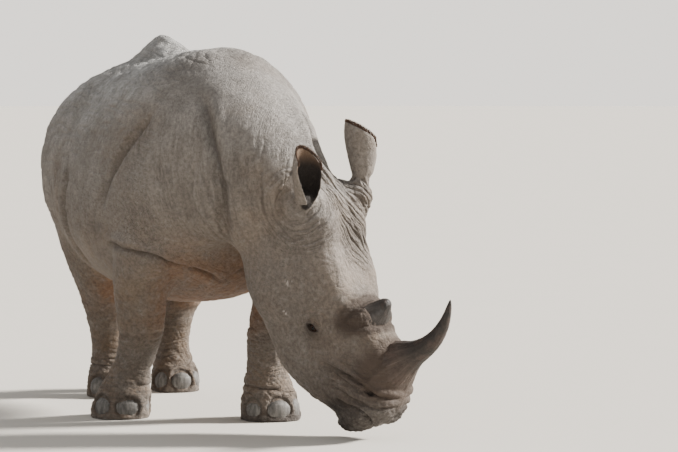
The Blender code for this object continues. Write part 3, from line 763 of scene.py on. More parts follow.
def build_skin(settings):
    """Melts the flesh together, eases it, folds it and keeps the masks that its colours read."""
    hard = [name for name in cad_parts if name.startswith(("eye", "horn")) or "nail" in name]
    soft = [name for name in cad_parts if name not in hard]
    parts = [joined_copy("flesh", soft, settings.swell), joined_copy("plugs", hard, -0.0015)]
    plugs = parts[1].data
    places = places_of(plugs)
    s, n, _ = head_places(places).T
    top = np.where(s > 0.72, 0.0, -0.05)
    places -= OUT * np.where((s > 0.4) & (n > top) & (places[:, 2] > 0.15), n - top, 0.0)[:, None]
    set_places(plugs, places)
    bpy.ops.object.select_all(action="DESELECT")
    for part in parts:
        part.select_set(True)
    bpy.context.view_layer.objects.active = parts[0]
    bpy.ops.object.join()
    skin = parts[0]
    skin.name = "skin"
    melt(skin, settings.mesh_size)
    data = skin.data
    places = places_of(data)
    trunk = places - WITHERS
    head = head_places(places)
    ears = ear_masks(places)[0]
    ground = ramp(trunk[:, 2], 0.004, 0.05)
    tail = ramp(trunk[:, 0], -1.66, -1.72)
    share = (
        0.5 * np.clip(1 - 0.96 * ears, 0, 1) * (1 - 0.85 * tail) * ground
        * (1 - 0.5 * ramp(head[:, 0], -0.05, 0.10))
    )
    edges = edges_of(data)
    places = eased(places, edges, share, settings.smoothing)
    places = eased(places, edges, 0.3 * ground * (1 - 0.8 * ears), 4)
    low = (tail > 0.5) & (trunk[:, 2] < 0.88)
    thin = np.where(low, 1 - 0.55 * ramp(trunk[:, 2], 0.88, 0.80), 1.0)
    places[:, :2] = TAIL_MIDDLE + (places[:, :2] - TAIL_MIDDLE) * thin[:, None]
    set_places(data, places)
    refine(skin, lambda p: head_places(p)[:, 0] > -0.10)
    for eye in (EYE_RIGHT, EYE_LEFT):
        refine(skin, lambda p: np.linalg.norm(p - eye, axis=1) < 0.075)
    data = skin.data
    places = places_of(data)
    fine = (head_places(places)[:, 0] > -0.12) * (1 - 0.7 * ear_masks(places)[0])
    places = eased(places, edges_of(data), 0.4 * fine, 3)
    set_places(data, places)
    hide = Hide(data)
    ears, hide.masks["ear_inside"], hide.masks["ear_end"] = ear_masks(places)
    x, y, z = hide.trunk.T
    s, n, _ = hide.head.T
    hide.plain = 1 - ears
    hide.ground = ramp(z, 0.004, 0.03)
    hide.neck = ramp(x, 0.10, 0.24) * ramp(s, 0.10, -0.06) * hide.plain
    belly = np.clip(hill(x, -0.62, 0.30) * ramp(z, 0.60, 0.70), 0, 1)
    hide.legs = (
        ramp(z, 0.92, 0.72) * ramp(z, 0.02, 0.05) * (x < 0.14) * (1 - ramp(x, -1.66, -1.72))
        * (1 - belly)
    )
    hide.grain(z, np.full(len(z), 0.05))
    swell_muscles(hide)
    fold_trunk(hide)
    fold_legs(hide)
    fold_head(hide)
    meet_horns(hide)
    shape_nostrils(hide)
    shape_eyes(hide)
    hide.places[:, 2] = np.where(z < 0.006, np.clip(z, 0.0, None), np.maximum(hide.places[:, 2], 0.0))
    hide.places = np.clip(hide.places, np.array(CAD_LOW) + (0.0005, 0.0005, 0.0), np.array(CAD_HIGH) - 0.0005)
    hide.settle()
    hide.masks["muzzle"] = ramp(s, 0.52, 0.90) * ramp(n, -0.02, -0.14)
    hide.masks["lips"] = np.clip(
        ramp(s - 0.35 * (n + 0.25), 0.94, 1.03) + ramp(n, -0.31, -0.38) * ramp(s, 0.84, 0.93), 0.0,
        1.0,
    )
    # Painted warm bounce light under the chest, between the forelegs.
    hide.masks["armpit"] = (
        ramp(z, 1.0, 0.62) * ramp(np.abs(y), 0.42, 0.24) * ramp(x, 0.34, 0.10) * ramp(z, 0.35, 0.55)
    )
    # Painted warm bounce light from the ground, partly earth, stronger lower down.
    hide.masks["low"] = ramp(z, 1.25, 0.35)
    # The face, where painted shade darkens what faces down.
    hide.masks["face"] = ramp(s, -0.05, 0.30) * hide.plain
    # Dust on the back, partly painted skylight where it faces up.
    hide.masks["back"] = ramp(z, 1.15, 1.70) * ramp(hide.normals[:, 2], -0.10, 0.70) * ramp(x, 0.10, -0.35)
    # Painted shade under the belly, on the hind legs.
    hide.masks["hind_shade"] = ramp(x, -0.90, -1.15) * ramp(z, 1.05, 0.70)
    hide.masks["grain"], hide.masks["grain_power"] = hide.finished_grain()
    for name, values in hide.masks.items():
        add_mask(data, name, values)
    data.shade_smooth()
    data.materials.clear()
    data.materials.append(skin_material(settings))
    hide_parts(*soft)
    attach(skin, "root")
    return skin


# ---------------------------------------------------------------- horns, eyes and toenails


def build_horn(settings, node, seed):
    """A horn's finer mesh with the fibres of its base and the scars of its sides."""
    horn = joined_copy(node + "_piece", [node])
    melt(horn, settings.horn_mesh)
    data = horn.data
    places = firm(places_of(data), edges_of(data), 12)
    set_places(data, places)
    normals = normals_of(data)
    s, n, r = head_places(places).T
    tall = node == "horn_front"
    rise = ramp(n, -0.10, 0.26) if tall else ramp(n, -0.12, 0.02)
    base = ramp(rise, 0.55, 0.05)
    turn = np.arctan2(r, s - (0.875 if tall else 0.61))
    height = 0.0022 * lumps(places, 0.045, seed) * (0.35 + base) - 0.002
    height += 0.0010 * lumps(places, 0.012, seed + 2) * (0.3 + base)
    height -= 0.006 * ramp(rise, 0.10, 0.0) if tall else 0.009 * ramp(rise, 0.34, 0.14)
    around = turn * 0.11 + 0.010 * lumps(places, 0.06, seed + 1)
    if tall:
        height -= base * 0.0022 * web(places, around, 0.16, 0.012, seed + 3)
    else:
        height -= 0.0060 * base * web(places, 0.4 * around, 0.040, 0.030, seed + 3)
        height -= 0.0100 * web(places, n - 0.5 * s, 0.11, 0.060, seed + 5) * hill(rise, 0.45, 0.30)
        height += 0.0030 * lumps(places, 0.022, seed + 4) * base
    places = places + normals * height[:, None]
    set_places(data, places)
    add_mask(data, "rise", rise)
    add_mask(data, "grain", around)
    data.shade_smooth()
    data.materials.clear()
    data.materials.append(horn_material())
    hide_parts(node)
    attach(horn, "root")
    return horn


def build_eye(side):
    """An eyeball with a dark iris, a pupil and the bulge of the cornea."""
    node = "eye_" + side
    middle = EYE_RIGHT if side == "right" else EYE_LEFT
    low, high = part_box(node)
    radius = (high[0] - low[0]) / 2 * 0.985
    out = -LEFT if side == "right" else LEFT
    gaze = out * 0.95 + AHEAD * 0.25 + OUT * 0.12
    gaze /= np.linalg.norm(gaze)
    bm = bmesh.new()
    bmesh.ops.create_uvsphere(bm, u_segments=96, v_segments=64, radius=1.0)
    data = bpy.data.meshes.new(node + "_ball")
    bm.to_mesh(data)
    bm.free()
    unit = places_of(data)
    turn = Vector((0, 0, 1)).rotation_difference(Vector(gaze)).to_matrix()
    unit = unit @ np.array(turn).T
    facing = unit @ gaze
    ball = new_object(node + "_ball", data)
    set_places(data, middle + unit * (radius * (1 - 0.03 * ramp(facing, 0.80, 0.70)))[:, None])
    add_mask(data, "facing", facing)
    data.shade_smooth()
    data.materials.append(eye_material())
    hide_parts(node)
    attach(ball, "root")
    return ball


def build_nails(settings):
    """The toenails, each widened, flattened and drawn down to the ground."""
    nodes = [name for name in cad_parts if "nail" in name]
    nails = joined_copy("toenails", nodes)
    melt(nails, settings.nail_mesh)
    data = nails.data
    places = places_of(data)
    middles = np.array([middle_of(node) for node in nodes])
    nearest = np.argmin(np.linalg.norm(places[:, None] - middles, axis=2), axis=1)
    for k, node in enumerate(nodes):
        middle = middles[k]
        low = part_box(node)[0][2]
        out = middle - middle_of(node.split("_nail")[0])
        out[2] = 0.0
        out /= np.linalg.norm(out)
        along = np.array((-out[1], out[0], 0.0))
        here = nearest == k
        q = places[here] - middle
        below = np.minimum(q[:, 2], 0.0)
        drop = (middle[2] - 0.004) / (middle[2] - low) - 1
        q = (
            q + along * (0.28 * (q @ along))[:, None] - out * (0.18 * (q @ out))[:, None]
            + np.array((0, 0, 1)) * (drop * below)[:, None]
        )
        places[here] = middle + q
    ground = ramp(places[:, 2], 0.012, 0.004)
    places = eased(places, edges_of(data), 0.5 * (1 - ground), 10)
    set_places(data, places)
    normals = normals_of(data)
    height = 0.0006 * np.sin(places[:, 2] * 2 * math.pi / 0.009 + 1.5 * lumps(places, 0.05, 61))
    height += 0.0009 * lumps(places, 0.02, 62) - 0.0004
    places = places + normals * (height * (1 - ground))[:, None]
    places[:, 2] = np.maximum(places[:, 2], 0.0)
    set_places(data, places)
    data.shade_smooth()
    data.materials.clear()
    data.materials.append(nail_material())
    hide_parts(*nodes)
    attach(nails, "root")
    return nails


# ---------------------------------------------------------------- hair


class Tufts:
    """Gathers closed, tapered locks of hair into one mesh."""

    def __init__(self, seed):
        self.random = np.random.default_rng(seed)
        self.points = []
        self.faces = []
        self.spots = []

    def lock(self, root, ways, length, width, spot):
        """One lock from its root along a bent line of directions, with three sides."""
        rings = len(ways)
        start = len(self.points)
        place = np.array(root, float)
        side = np.cross(ways[0], (0.3, 0.5, 0.8))
        side /= np.linalg.norm(side)
        for k, way in enumerate(ways):
            way = way / np.linalg.norm(way)
            across = side - way * (side @ way)
            across /= np.linalg.norm(across)
            third = np.cross(way, across)
            size = width * (1 - (k / rings) ** 1.5)
            for i in range(3):
                angle = i * 2 * math.pi / 3
                self.points.append(place + (across * math.cos(angle) + third * math.sin(angle)) * size)
            place = place + way * (length / rings)
        self.points.append(place)
        tip = len(self.points) - 1
        self.faces.append((start + 2, start + 1, start))
        for k in range(rings - 1):
            a = start + 3 * k
            for i in range(3):
                j = (i + 1) % 3
                self.faces.append((a + i, a + j, a + 3 + j, a + 3 + i))
        a = start + 3 * (rings - 1)
        for i in range(3):
            self.faces.append((a + i, a + (i + 1) % 3, tip))
        self.spots.extend([spot] * (tip + 1 - start))

    def made(self, name, material, slot):
        data = bpy.data.meshes.new(name)
        data.from_pydata([tuple(p) for p in self.points], [], self.faces)
        layer = data.uv_layers.new(name="OFBake")
        corners = np.empty(len(data.loops), np.int32)
        data.loops.foreach_get("vertex_index", corners)
        spots = np.array(self.spots)[corners]
        turn = corners % 7 * 0.9
        spots = spots + 0.0015 * np.stack((np.cos(turn), np.sin(turn)), axis=1)
        layer.data.foreach_set("uv", np.clip(spots, 0.001, 0.999).astype(np.float32).ravel())
        data.shade_smooth()
        data.materials.append(material)
        made = new_object(name, data)
        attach(made, "root")
        return made


def build_fringe(settings, side):
    """The fringe along an ear's rim, longest at the tip."""
    tufts = Tufts(71 if side == "right" else 72)
    root, point, opening, _ = ear_frame(side)
    middle, reach = (0.47, 0.20) if side == "right" else (0.54, 0.22)
    for _ in range(settings.fringe_locks):
        t = middle + reach * (2 * tufts.random.random() - 1)
        place = ear_rim(side, t)
        ahead = ear_rim(side, min(t + 0.02, 1.0)) - ear_rim(side, max(t - 0.02, 0.0))
        ahead /= np.linalg.norm(ahead)
        outward = np.cross(ahead, opening)
        if outward @ (place - root - point * 0.12) < 0:
            outward = -outward
        length = (
            0.006 + 0.012 * math.exp(-(((t - middle) / (0.6 * reach)) ** 2)) + 0.004
            * tufts.random.random()
        )
        lean = (
            outward * 0.8 + point * 0.7 + opening * tufts.random.normal(0, 0.25) + ahead
            * tufts.random.normal(0, 0.25)
        )
        ways = [lean + (point * 0.35 - opening * 0.1) * k * 0.3 for k in range(4)]
        place = place - outward * 0.004 + opening * tufts.random.normal(0, 0.0025)
        tufts.lock(
            place, ways, length, 0.0007,
            (t, 0.5 + (0.25 if side == "right" else -0.25) + 0.1 * tufts.random.random()),
        )
    return tufts.made("ear_fringe_" + side, hair_material("fringe", (0.040, 0.021, 0.013)), "skin")


def build_tail_tuft(settings):
    """The brush of stiff hairs at the tail's end, which lies in two flat rows."""
    tufts = Tufts(73)
    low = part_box("tail")[0][2]
    for _ in range(settings.tail_locks):
        height = low + 0.05 + 0.15 * tufts.random.random()
        angle = tufts.random.random() * 2 * math.pi
        out = np.array((math.cos(angle) * 1.6, math.sin(angle) * 0.8, 0.0))
        place = np.array((*TAIL_MIDDLE, height)) + out * 0.009
        length = min(0.05 + 0.05 * tufts.random.random(), height - low - 0.002)
        ways = [out * (0.30 - 0.09 * k) + np.array((0, 0, -1.0)) for k in range(4)]
        tufts.lock(place, ways, length, 0.0011, (0.1 + 0.8 * angle / 2 / math.pi, 0.1 + 2.5 * (height - low)))
    return tufts.made("tail_tuft", hair_material("tail_hair", (0.035, 0.028, 0.023)), "skin")


def build_lashes(settings):
    """A short row of lashes over each eye."""
    tufts = Tufts(74)
    for turn, eye in ((1, EYE_RIGHT), (-1, EYE_LEFT)):
        out = -LEFT * turn
        along_way = AHEAD * 0.83 + OUT * 0.56
        over_way = OUT * 0.83 - AHEAD * 0.56
        for i in range(settings.lash_locks):
            a = math.pi * (0.08 + 0.84 * i / (settings.lash_locks - 1)) + tufts.random.normal(0, 0.03)
            place = eye + along_way * math.cos(a) * 0.027 + over_way * math.sin(a) * 0.016 + out * 0.020
            ways = [out * 0.9 + over_way * (0.5 + 0.15 * k) - AHEAD * 0.1 for k in range(4)]
            tufts.lock(
                place, ways, 0.012 + 0.005 * tufts.random.random(), 0.0006,
                (0.5 + 0.2 * math.cos(a), 0.5 + 0.2 * turn),
            )
    return tufts.made("eyelashes", hair_material("lash_hair", (0.02, 0.016, 0.013)), "skin")


# ---------------------------------------------------------------- materials


class Nodes:
    """Adds nodes to one tree and joins them."""

    def __init__(self, tree):
        self.tree = tree
        self.place = tree.nodes.new("ShaderNodeTexCoord").outputs["Object"]

    def put(self, socket, value):
        if isinstance(value, bpy.types.NodeSocket):
            self.tree.links.new(value, socket)
        elif isinstance(value, tuple) and len(value) == 3 and socket.type == "RGBA":
            socket.default_value = (*value, 1.0)
        else:
            socket.default_value = value

    def mask(self, name):
        node = self.tree.nodes.new("ShaderNodeAttribute")
        node.attribute_name = name
        return node.outputs["Fac"]

    def math(self, kind, a, b=0.5):
        node = self.tree.nodes.new("ShaderNodeMath")
        node.operation = kind
        self.put(node.inputs[0], a)
        self.put(node.inputs[1], b)
        return node.outputs[0]

    def times(self, a, b):
        return self.math("MULTIPLY", a, b)

    def mix(self, share, a, b, kind="MIX"):
        node = self.tree.nodes.new("ShaderNodeMix")
        node.data_type = "RGBA"
        node.blend_type = kind
        self.put(node.inputs[0], share)
        self.put(node.inputs[6], a)
        self.put(node.inputs[7], b)
        return node.outputs[2]

    def stretch(self, value, low, high, to_low=0.0, to_high=1.0):
        node = self.tree.nodes.new("ShaderNodeMapRange")
        node.interpolation_type = "SMOOTHSTEP"
        self.put(node.inputs[0], value)
        for k, number in enumerate((low, high, to_low, to_high)):
            self.put(node.inputs[k + 1], number)
        return node.outputs[0]

    def mapped(self, scale):
        node = self.tree.nodes.new("ShaderNodeMapping")
        self.put(node.inputs["Vector"], self.place)
        self.put(node.inputs["Scale"], scale)
        return node.outputs[0]

    def noise(self, scale, detail=4.0, rough=0.55, place=None, twist=0.0):
        node = self.tree.nodes.new("ShaderNodeTexNoise")
        self.put(node.inputs["Vector"], place or self.place)
        self.put(node.inputs["Scale"], scale)
        self.put(node.inputs["Detail"], detail)
        self.put(node.inputs["Roughness"], rough)
        self.put(node.inputs["Distortion"], twist)
        return node.outputs["Fac"]

    def cells(self, scale):
        node = self.tree.nodes.new("ShaderNodeTexVoronoi")
        node.feature = "DISTANCE_TO_EDGE"
        self.put(node.inputs["Vector"], self.place)
        self.put(node.inputs["Scale"], scale)
        return node.outputs["Distance"]

    def placed(self, effect, *values):
        """Places a shared effect with this material's own values, in the order of its inputs."""
        node = self.tree.nodes.new("ShaderNodeGroup")
        node.node_tree = effect
        for socket, value in zip(node.inputs, values):
            self.put(socket, value)
        return node.outputs

    def noise_along(self, across, long, short, detail):
        return self.placed(fibre_effect(), across, long, short, detail)["Fibre"]

    def speckle(self, *values):
        """The bare noise of the speckle effect, and its speckles."""
        outputs = self.placed(speckle_effect(), *values)
        return outputs["Noise"], outputs["Speckle"]

    def creases(self, noise, width):
        """Narrow lines, 1 in their middle, where a noise crosses its own middle."""
        away = self.math("ABSOLUTE", self.math("SUBTRACT", noise, 0.5))
        return self.stretch(away, 0.0, width, 1.0, 0.0)

    def bump(self, height, depth, below=None):
        node = self.tree.nodes.new("ShaderNodeBump")
        node.inputs["Strength"].default_value = 1.0
        node.inputs["Distance"].default_value = depth
        self.put(node.inputs["Height"], height)
        if below is not None:
            self.put(node.inputs["Normal"], below)
        return node.outputs[0]


class Shader(Nodes):
    """The nodes of one material."""

    def __init__(self, name):
        self.material = bpy.data.materials.new(name)
        self.material.use_nodes = True
        tree = self.material.node_tree
        tree.nodes.clear()
        super().__init__(tree)
        self.surface = tree.nodes.new("ShaderNodeBsdfPrincipled")
        out = tree.nodes.new("ShaderNodeOutputMaterial")
        tree.links.new(self.surface.outputs["BSDF"], out.inputs["Surface"])

    def finish(self, colour, rough, bump, specular=0.3):
        self.put(self.surface.inputs["Base Color"], colour)
        self.put(self.surface.inputs["Roughness"], rough)
        self.surface.inputs["Specular IOR Level"].default_value = specular
        if bump is not None:
            self.put(self.surface.inputs["Normal"], bump)
        return self.material


def new_effect(name, inputs, outputs):
    """An empty node group with these inputs and outputs: its nodes, and the sockets at both of its ends."""
    tree = bpy.data.node_groups.new(name, "ShaderNodeTree")
    for label, value in inputs:
        tree.interface.new_socket(label, in_out="INPUT", socket_type="NodeSocketFloat").default_value = value
    for label in outputs:
        tree.interface.new_socket(label, in_out="OUTPUT", socket_type="NodeSocketFloat")
    start, end = tree.nodes.new("NodeGroupInput"), tree.nodes.new("NodeGroupOutput")
    return Nodes(tree), start.outputs, end.inputs


def fibre_effect():
    """Noise drawn out along the lines where Across is level; the two scales run along and across them."""
    if "fibre" in bpy.data.node_groups:
        return bpy.data.node_groups["fibre"]
    inputs = (("Across", 0.0), ("Long Scale", 9.0), ("Short Scale", 100.0), ("Detail", 3.0))
    group, given, out = new_effect("fibre", inputs, ("Fibre",))
    noise = group.tree.nodes.new("ShaderNodeTexNoise")
    noise.noise_dimensions = "4D"
    group.put(noise.inputs["Vector"], group.mapped(given["Long Scale"]))
    group.put(noise.inputs["W"], group.times(given["Across"], given["Short Scale"]))
    group.put(noise.inputs["Scale"], 1.0)
    group.put(noise.inputs["Detail"], given["Detail"])
    group.put(noise.inputs["Roughness"], 0.6)
    group.put(out["Fibre"], noise.outputs["Fac"])
    return group.tree


def speckle_effect():
    """Noise, and the speckles where it rises from Low to High, which are Most at their strongest."""
    if "speckle" in bpy.data.node_groups:
        return bpy.data.node_groups["speckle"]
    inputs = (
        ("Scale", 70.0), ("Detail", 4.0), ("Roughness", 0.6), ("Low", 0.5), ("High", 0.7),
        ("Most", 1.0),
    )
    group, given, out = new_effect("speckle", inputs, ("Noise", "Speckle"))
    noise = group.noise(given["Scale"], given["Detail"], given["Roughness"])
    group.put(out["Noise"], noise)
    group.put(out["Speckle"], group.stretch(noise, given["Low"], given["High"], 0.0, given["Most"]))
    return group.tree


def skin_material(settings):
    """Dusty grey hide: paler above as painted skylight, earthy below partly as painted warm bounce light, dark
    lips, and painted shade in its creases, ears, eyes and nostrils.
    """
    sh = Shader("rhinoceros_skin")
    geometry = sh.tree.nodes.new("ShaderNodeNewGeometry")
    split = sh.tree.nodes.new("ShaderNodeSeparateXYZ")
    sh.put(split.inputs[0], geometry.outputs["Normal"])
    upward = split.outputs[2]
    mottle = sh.noise(5.0, 5, 0.6)
    mottle2 = sh.noise(24.0, 4, 0.65)
    stain = sh.noise(2.4, 3, 0.5)
    crack_patches = sh.noise(6.0, 3, 0.5)
    pale, grey, brown, dark = settings.pale, settings.grey, settings.brown, settings.dark
    # Fine lines: a web all over, and lines that run with the folds.
    web = sh.creases(sh.noise(80.0, 2, 0.5), 0.06)
    web2 = sh.creases(sh.noise(38.0, 3, 0.6, twist=0.3), 0.05)
    lines = sh.creases(sh.noise_along(sh.mask("grain"), 22.0, 105.0, 2), 0.09)
    power = sh.mask("grain_power")
    lines = sh.times(lines, power)
    cells = sh.stretch(sh.cells(46.0), 0.0, 0.16, 1.0, 0.0)
    cells = sh.times(cells, sh.mask("pebbles"))
    cracks = sh.math("MAXIMUM", sh.times(web, 0.5), sh.times(web2, 0.6))
    cracks = sh.math("MAXIMUM", sh.math("MAXIMUM", cracks, lines), cells)
    # Colours: pale where it faces up as painted skylight, earth-brown below as partly earth and partly painted
    # warm bounce light, and rusty between the legs as painted warm bounce light.
    # Painted skylight: paler where the skin faces up.
    painted_skylight = sh.stretch(upward, -0.20, 0.75)
    colour = sh.mix(painted_skylight, tuple(grey), tuple(pale))
    # Browner towards the bottom: painted warm bounce light from the ground, partly earth.
    low = sh.times(sh.mask("low"), 0.85)
    colour = sh.mix(low, colour, tuple(brown))
    warm = sh.times(sh.stretch(stain, 0.45, 0.70), 0.45)
    colour = sh.mix(warm, colour, tuple(brown))
    # Dust on the back, partly painted skylight: paler where the back faces up.
    dust_and_skylight = sh.times(sh.mask("back"), sh.stretch(mottle, 0.30, 0.62, 0.45, 0.85))
    colour = sh.mix(dust_and_skylight, colour, (0.41, 0.42, 0.42))
    # Painted shade of the belly on the hind legs.
    colour = sh.mix(sh.times(sh.mask("hind_shade"), 0.6), colour, (0.070, 0.046, 0.029))
    # Painted shade: the face is darker where it faces down.
    shaded = sh.times(sh.mask("face"), sh.stretch(upward, 0.45, -0.15, 0.20, 0.80))
    colour = sh.mix(shaded, colour, (0.112, 0.095, 0.082))
    # The armpit tint is painted warm bounce light under the chest; the muzzle and lips have their own darker
    # colours.
    for name, share, tint in (
        ("armpit", 0.80, (0.17, 0.085, 0.045)),
        ("muzzle", 0.75, (0.082, 0.064, 0.053)),
        ("lips", 0.85, (0.022, 0.018, 0.016)),
    ):
        colour = sh.mix(sh.times(sh.mask(name), share), colour, tint)
    colour = sh.mix(sh.stretch(mottle, 0.38, 0.66, 0.0, 0.55), colour, tuple(dark))
    colour = sh.mix(sh.stretch(mottle2, 0.48, 0.70, 0.0, 0.28), colour, tuple(pale))
    value = sh.stretch(sh.noise(58.0, 6, 0.75), 0.30, 0.70)
    colour = sh.mix(0.30, colour, sh.mix(value, (0.0, 0.0, 0.0), (1.0, 1.0, 1.0)), "OVERLAY")
    grit, speckle = sh.speckle(120.0, 4.0, 0.7, 0.56, 0.72, 0.35)
    colour = sh.mix(speckle, colour, tuple(c * 0.45 for c in dark))
    # Painted shade in the fine cracks, in patches.
    crack_shade = sh.times(sh.times(cracks, sh.stretch(crack_patches, 0.42, 0.64)), 0.20)
    colour = sh.mix(crack_shade, colour, (0.050, 0.040, 0.034))
    # Painted shade in the folds and creases.
    colour = sh.mix(sh.times(sh.mask("crease"), 0.70), colour, (0.046, 0.036, 0.030))
    fibre = sh.noise_along(sh.mask("grain"), 7.0, 90.0, 3)
    horny = sh.times(sh.mask("horny"), sh.stretch(fibre, 0.25, 0.55, 0.55, 1.0))
    colour = sh.mix(horny, colour, (0.060, 0.043, 0.033))
    colour = sh.mix(sh.times(sh.mask("scar"), 0.75), colour, (0.40, 0.36, 0.33))
    # Painted shade deep inside each ear, near-black, browner towards the tip.
    inside = sh.mix(sh.mask("ear_end"), (0.010, 0.007, 0.006), (0.120, 0.078, 0.052))
    colour = sh.mix(sh.times(sh.mask("ear_inside"), 0.97), colour, inside)
    # Dark round each eye: painted shade at the rim of the opening, and a soft dark patch a little below it.
    colour = sh.mix(sh.times(sh.mask("eye_rim"), 0.85), colour, (0.024, 0.017, 0.014))
    # Painted shade in each nostril's slit.
    colour = sh.mix(sh.times(sh.mask("hole"), 0.92), colour, (0.015, 0.011, 0.009))
    bump = sh.bump(sh.noise(70.0, 5, 0.65), 0.0042)
    bump = sh.bump(sh.times(web2, -1.0), 0.0007, bump)
    bump = sh.bump(sh.times(web, -1.0), 0.0008, bump)
    bump = sh.bump(sh.times(lines, -1.0), 0.0016, bump)
    bump = sh.bump(sh.times(cells, -1.0), 0.0035, bump)
    bump = sh.bump(sh.times(grit, sh.mask("crumbs")), 0.012, bump)
    rough = sh.stretch(mottle2, 0.2, 0.8, 0.66, 0.88)
    return sh.finish(colour, rough, bump, 0.28)


def horn_material():
    """Dark keratin with fibres that run up the horn."""
    name = "horn_keratin"
    if name in bpy.data.materials:
        return bpy.data.materials[name]
    sh = Shader(name)
    rise = sh.mask("rise")
    fibre = sh.noise_along(sh.mask("grain"), 9.0, 190.0, 3)
    streaks = sh.noise_along(sh.mask("grain"), 4.0, 60.0, 2)
    patches = sh.noise(9.0, 4, 0.6)
    spots, stains = sh.speckle(70.0, 5.0, 0.7, 0.50, 0.70, 0.45)
    colour = sh.mix(sh.stretch(rise, 0.02, 0.50), (0.056, 0.037, 0.027), (0.017, 0.012, 0.009))
    colour = sh.mix(sh.stretch(rise, 0.55, 1.0), colour, (0.011, 0.0085, 0.007))
    colour = sh.mix(sh.times(sh.stretch(patches, 0.48, 0.64), 0.5), colour, (0.070, 0.042, 0.031))
    pale = sh.times(sh.stretch(streaks, 0.60, 0.74), sh.stretch(rise, 0.55, 0.05))
    colour = sh.mix(sh.times(pale, 0.55), colour, (0.150, 0.112, 0.088))
    colour = sh.mix(sh.times(sh.stretch(fibre, 0.50, 0.66), 0.45), colour, (0.014, 0.010, 0.008))
    colour = sh.mix(stains, colour, (0.013, 0.0095, 0.008))
    bump = sh.bump(fibre, 0.0020)
    bump = sh.bump(spots, 0.0016, bump)
    return sh.finish(colour, sh.stretch(spots, 0.2, 0.8, 0.40, 0.68), bump, 0.4)


def nail_material():
    sh = Shader("toenail")
    streak = sh.noise(14.0, 4, 0.6, sh.mapped((5, 5, 1)))
    spots, stains = sh.speckle(60.0, 4.0, 0.6, 0.50, 0.75, 0.45)
    colour = sh.mix(sh.stretch(streak, 0.35, 0.7), (0.070, 0.066, 0.062), (0.150, 0.142, 0.132))
    colour = sh.mix(stains, colour, (0.045, 0.038, 0.033))
    bump = sh.bump(sh.noise(90.0, 4, 0.6), 0.0012)
    return sh.finish(colour, sh.stretch(spots, 0.2, 0.8, 0.5, 0.75), bump, 0.35)


def eye_material():
    name = "rhinoceros_eye"
    if name in bpy.data.materials:
        return bpy.data.materials[name]
    sh = Shader(name)
    facing = sh.mask("facing")
    spokes, flecks = sh.speckle(140.0, 4.0, 0.6, 0.45, 0.70, 0.5)
    colour = sh.mix(sh.stretch(facing, 0.60, 0.70), (0.030, 0.020, 0.015), (0.020, 0.009, 0.005))
    colour = sh.mix(flecks, colour, (0.012, 0.006, 0.004))
    colour = sh.mix(sh.stretch(facing, 0.93, 0.955), colour, (0.002, 0.002, 0.002))
    bump = sh.bump(sh.noise(300.0, 2, 0.5), 0.00004)
    sh.surface.inputs["Coat Weight"].default_value = 0.04
    sh.surface.inputs["Coat Roughness"].default_value = 0.04
    return sh.finish(colour, sh.stretch(spokes, 0.3, 0.7, 0.22, 0.32), bump, 0.12)


def hair_material(name, colour):
    sh = Shader(name)
    streak, light = sh.speckle(80.0, 3.0, 0.6, 0.30, 0.75, 1.0)
    pale = tuple(min(c * 2.3, 1.0) for c in colour)
    mixed = sh.mix(light, colour, pale)
    return sh.finish(
        mixed, sh.stretch(streak, 0.3, 0.7, 0.5, 0.7), sh.bump(sh.noise(400.0, 2, 0.5), 0.0003), 0.3
    )


# ---------------------------------------------------------------- stage


def plain_material(name, colour, rough):
    sh = Shader(name)
    return sh.finish(
        sh.mix(sh.noise(1.5, 3, 0.5), tuple(colour), tuple(c * 0.97 for c in colour)), rough, None,
        0.2,
    )


def aim(made, target):
    made.rotation_mode = "QUATERNION"
    way = Vector(target) - made.location
    made.rotation_quaternion = way.to_track_quat("-Z", "Y")


def area_light(name, place, target, size, power, colour):
    data = bpy.data.lights.new(name, "AREA")
    data.shape = "DISK"
    data.size = size
    data.energy = power
    data.color = colour
    made = new_object(name, data)
    made.location = place
    aim(made, target)
    return made


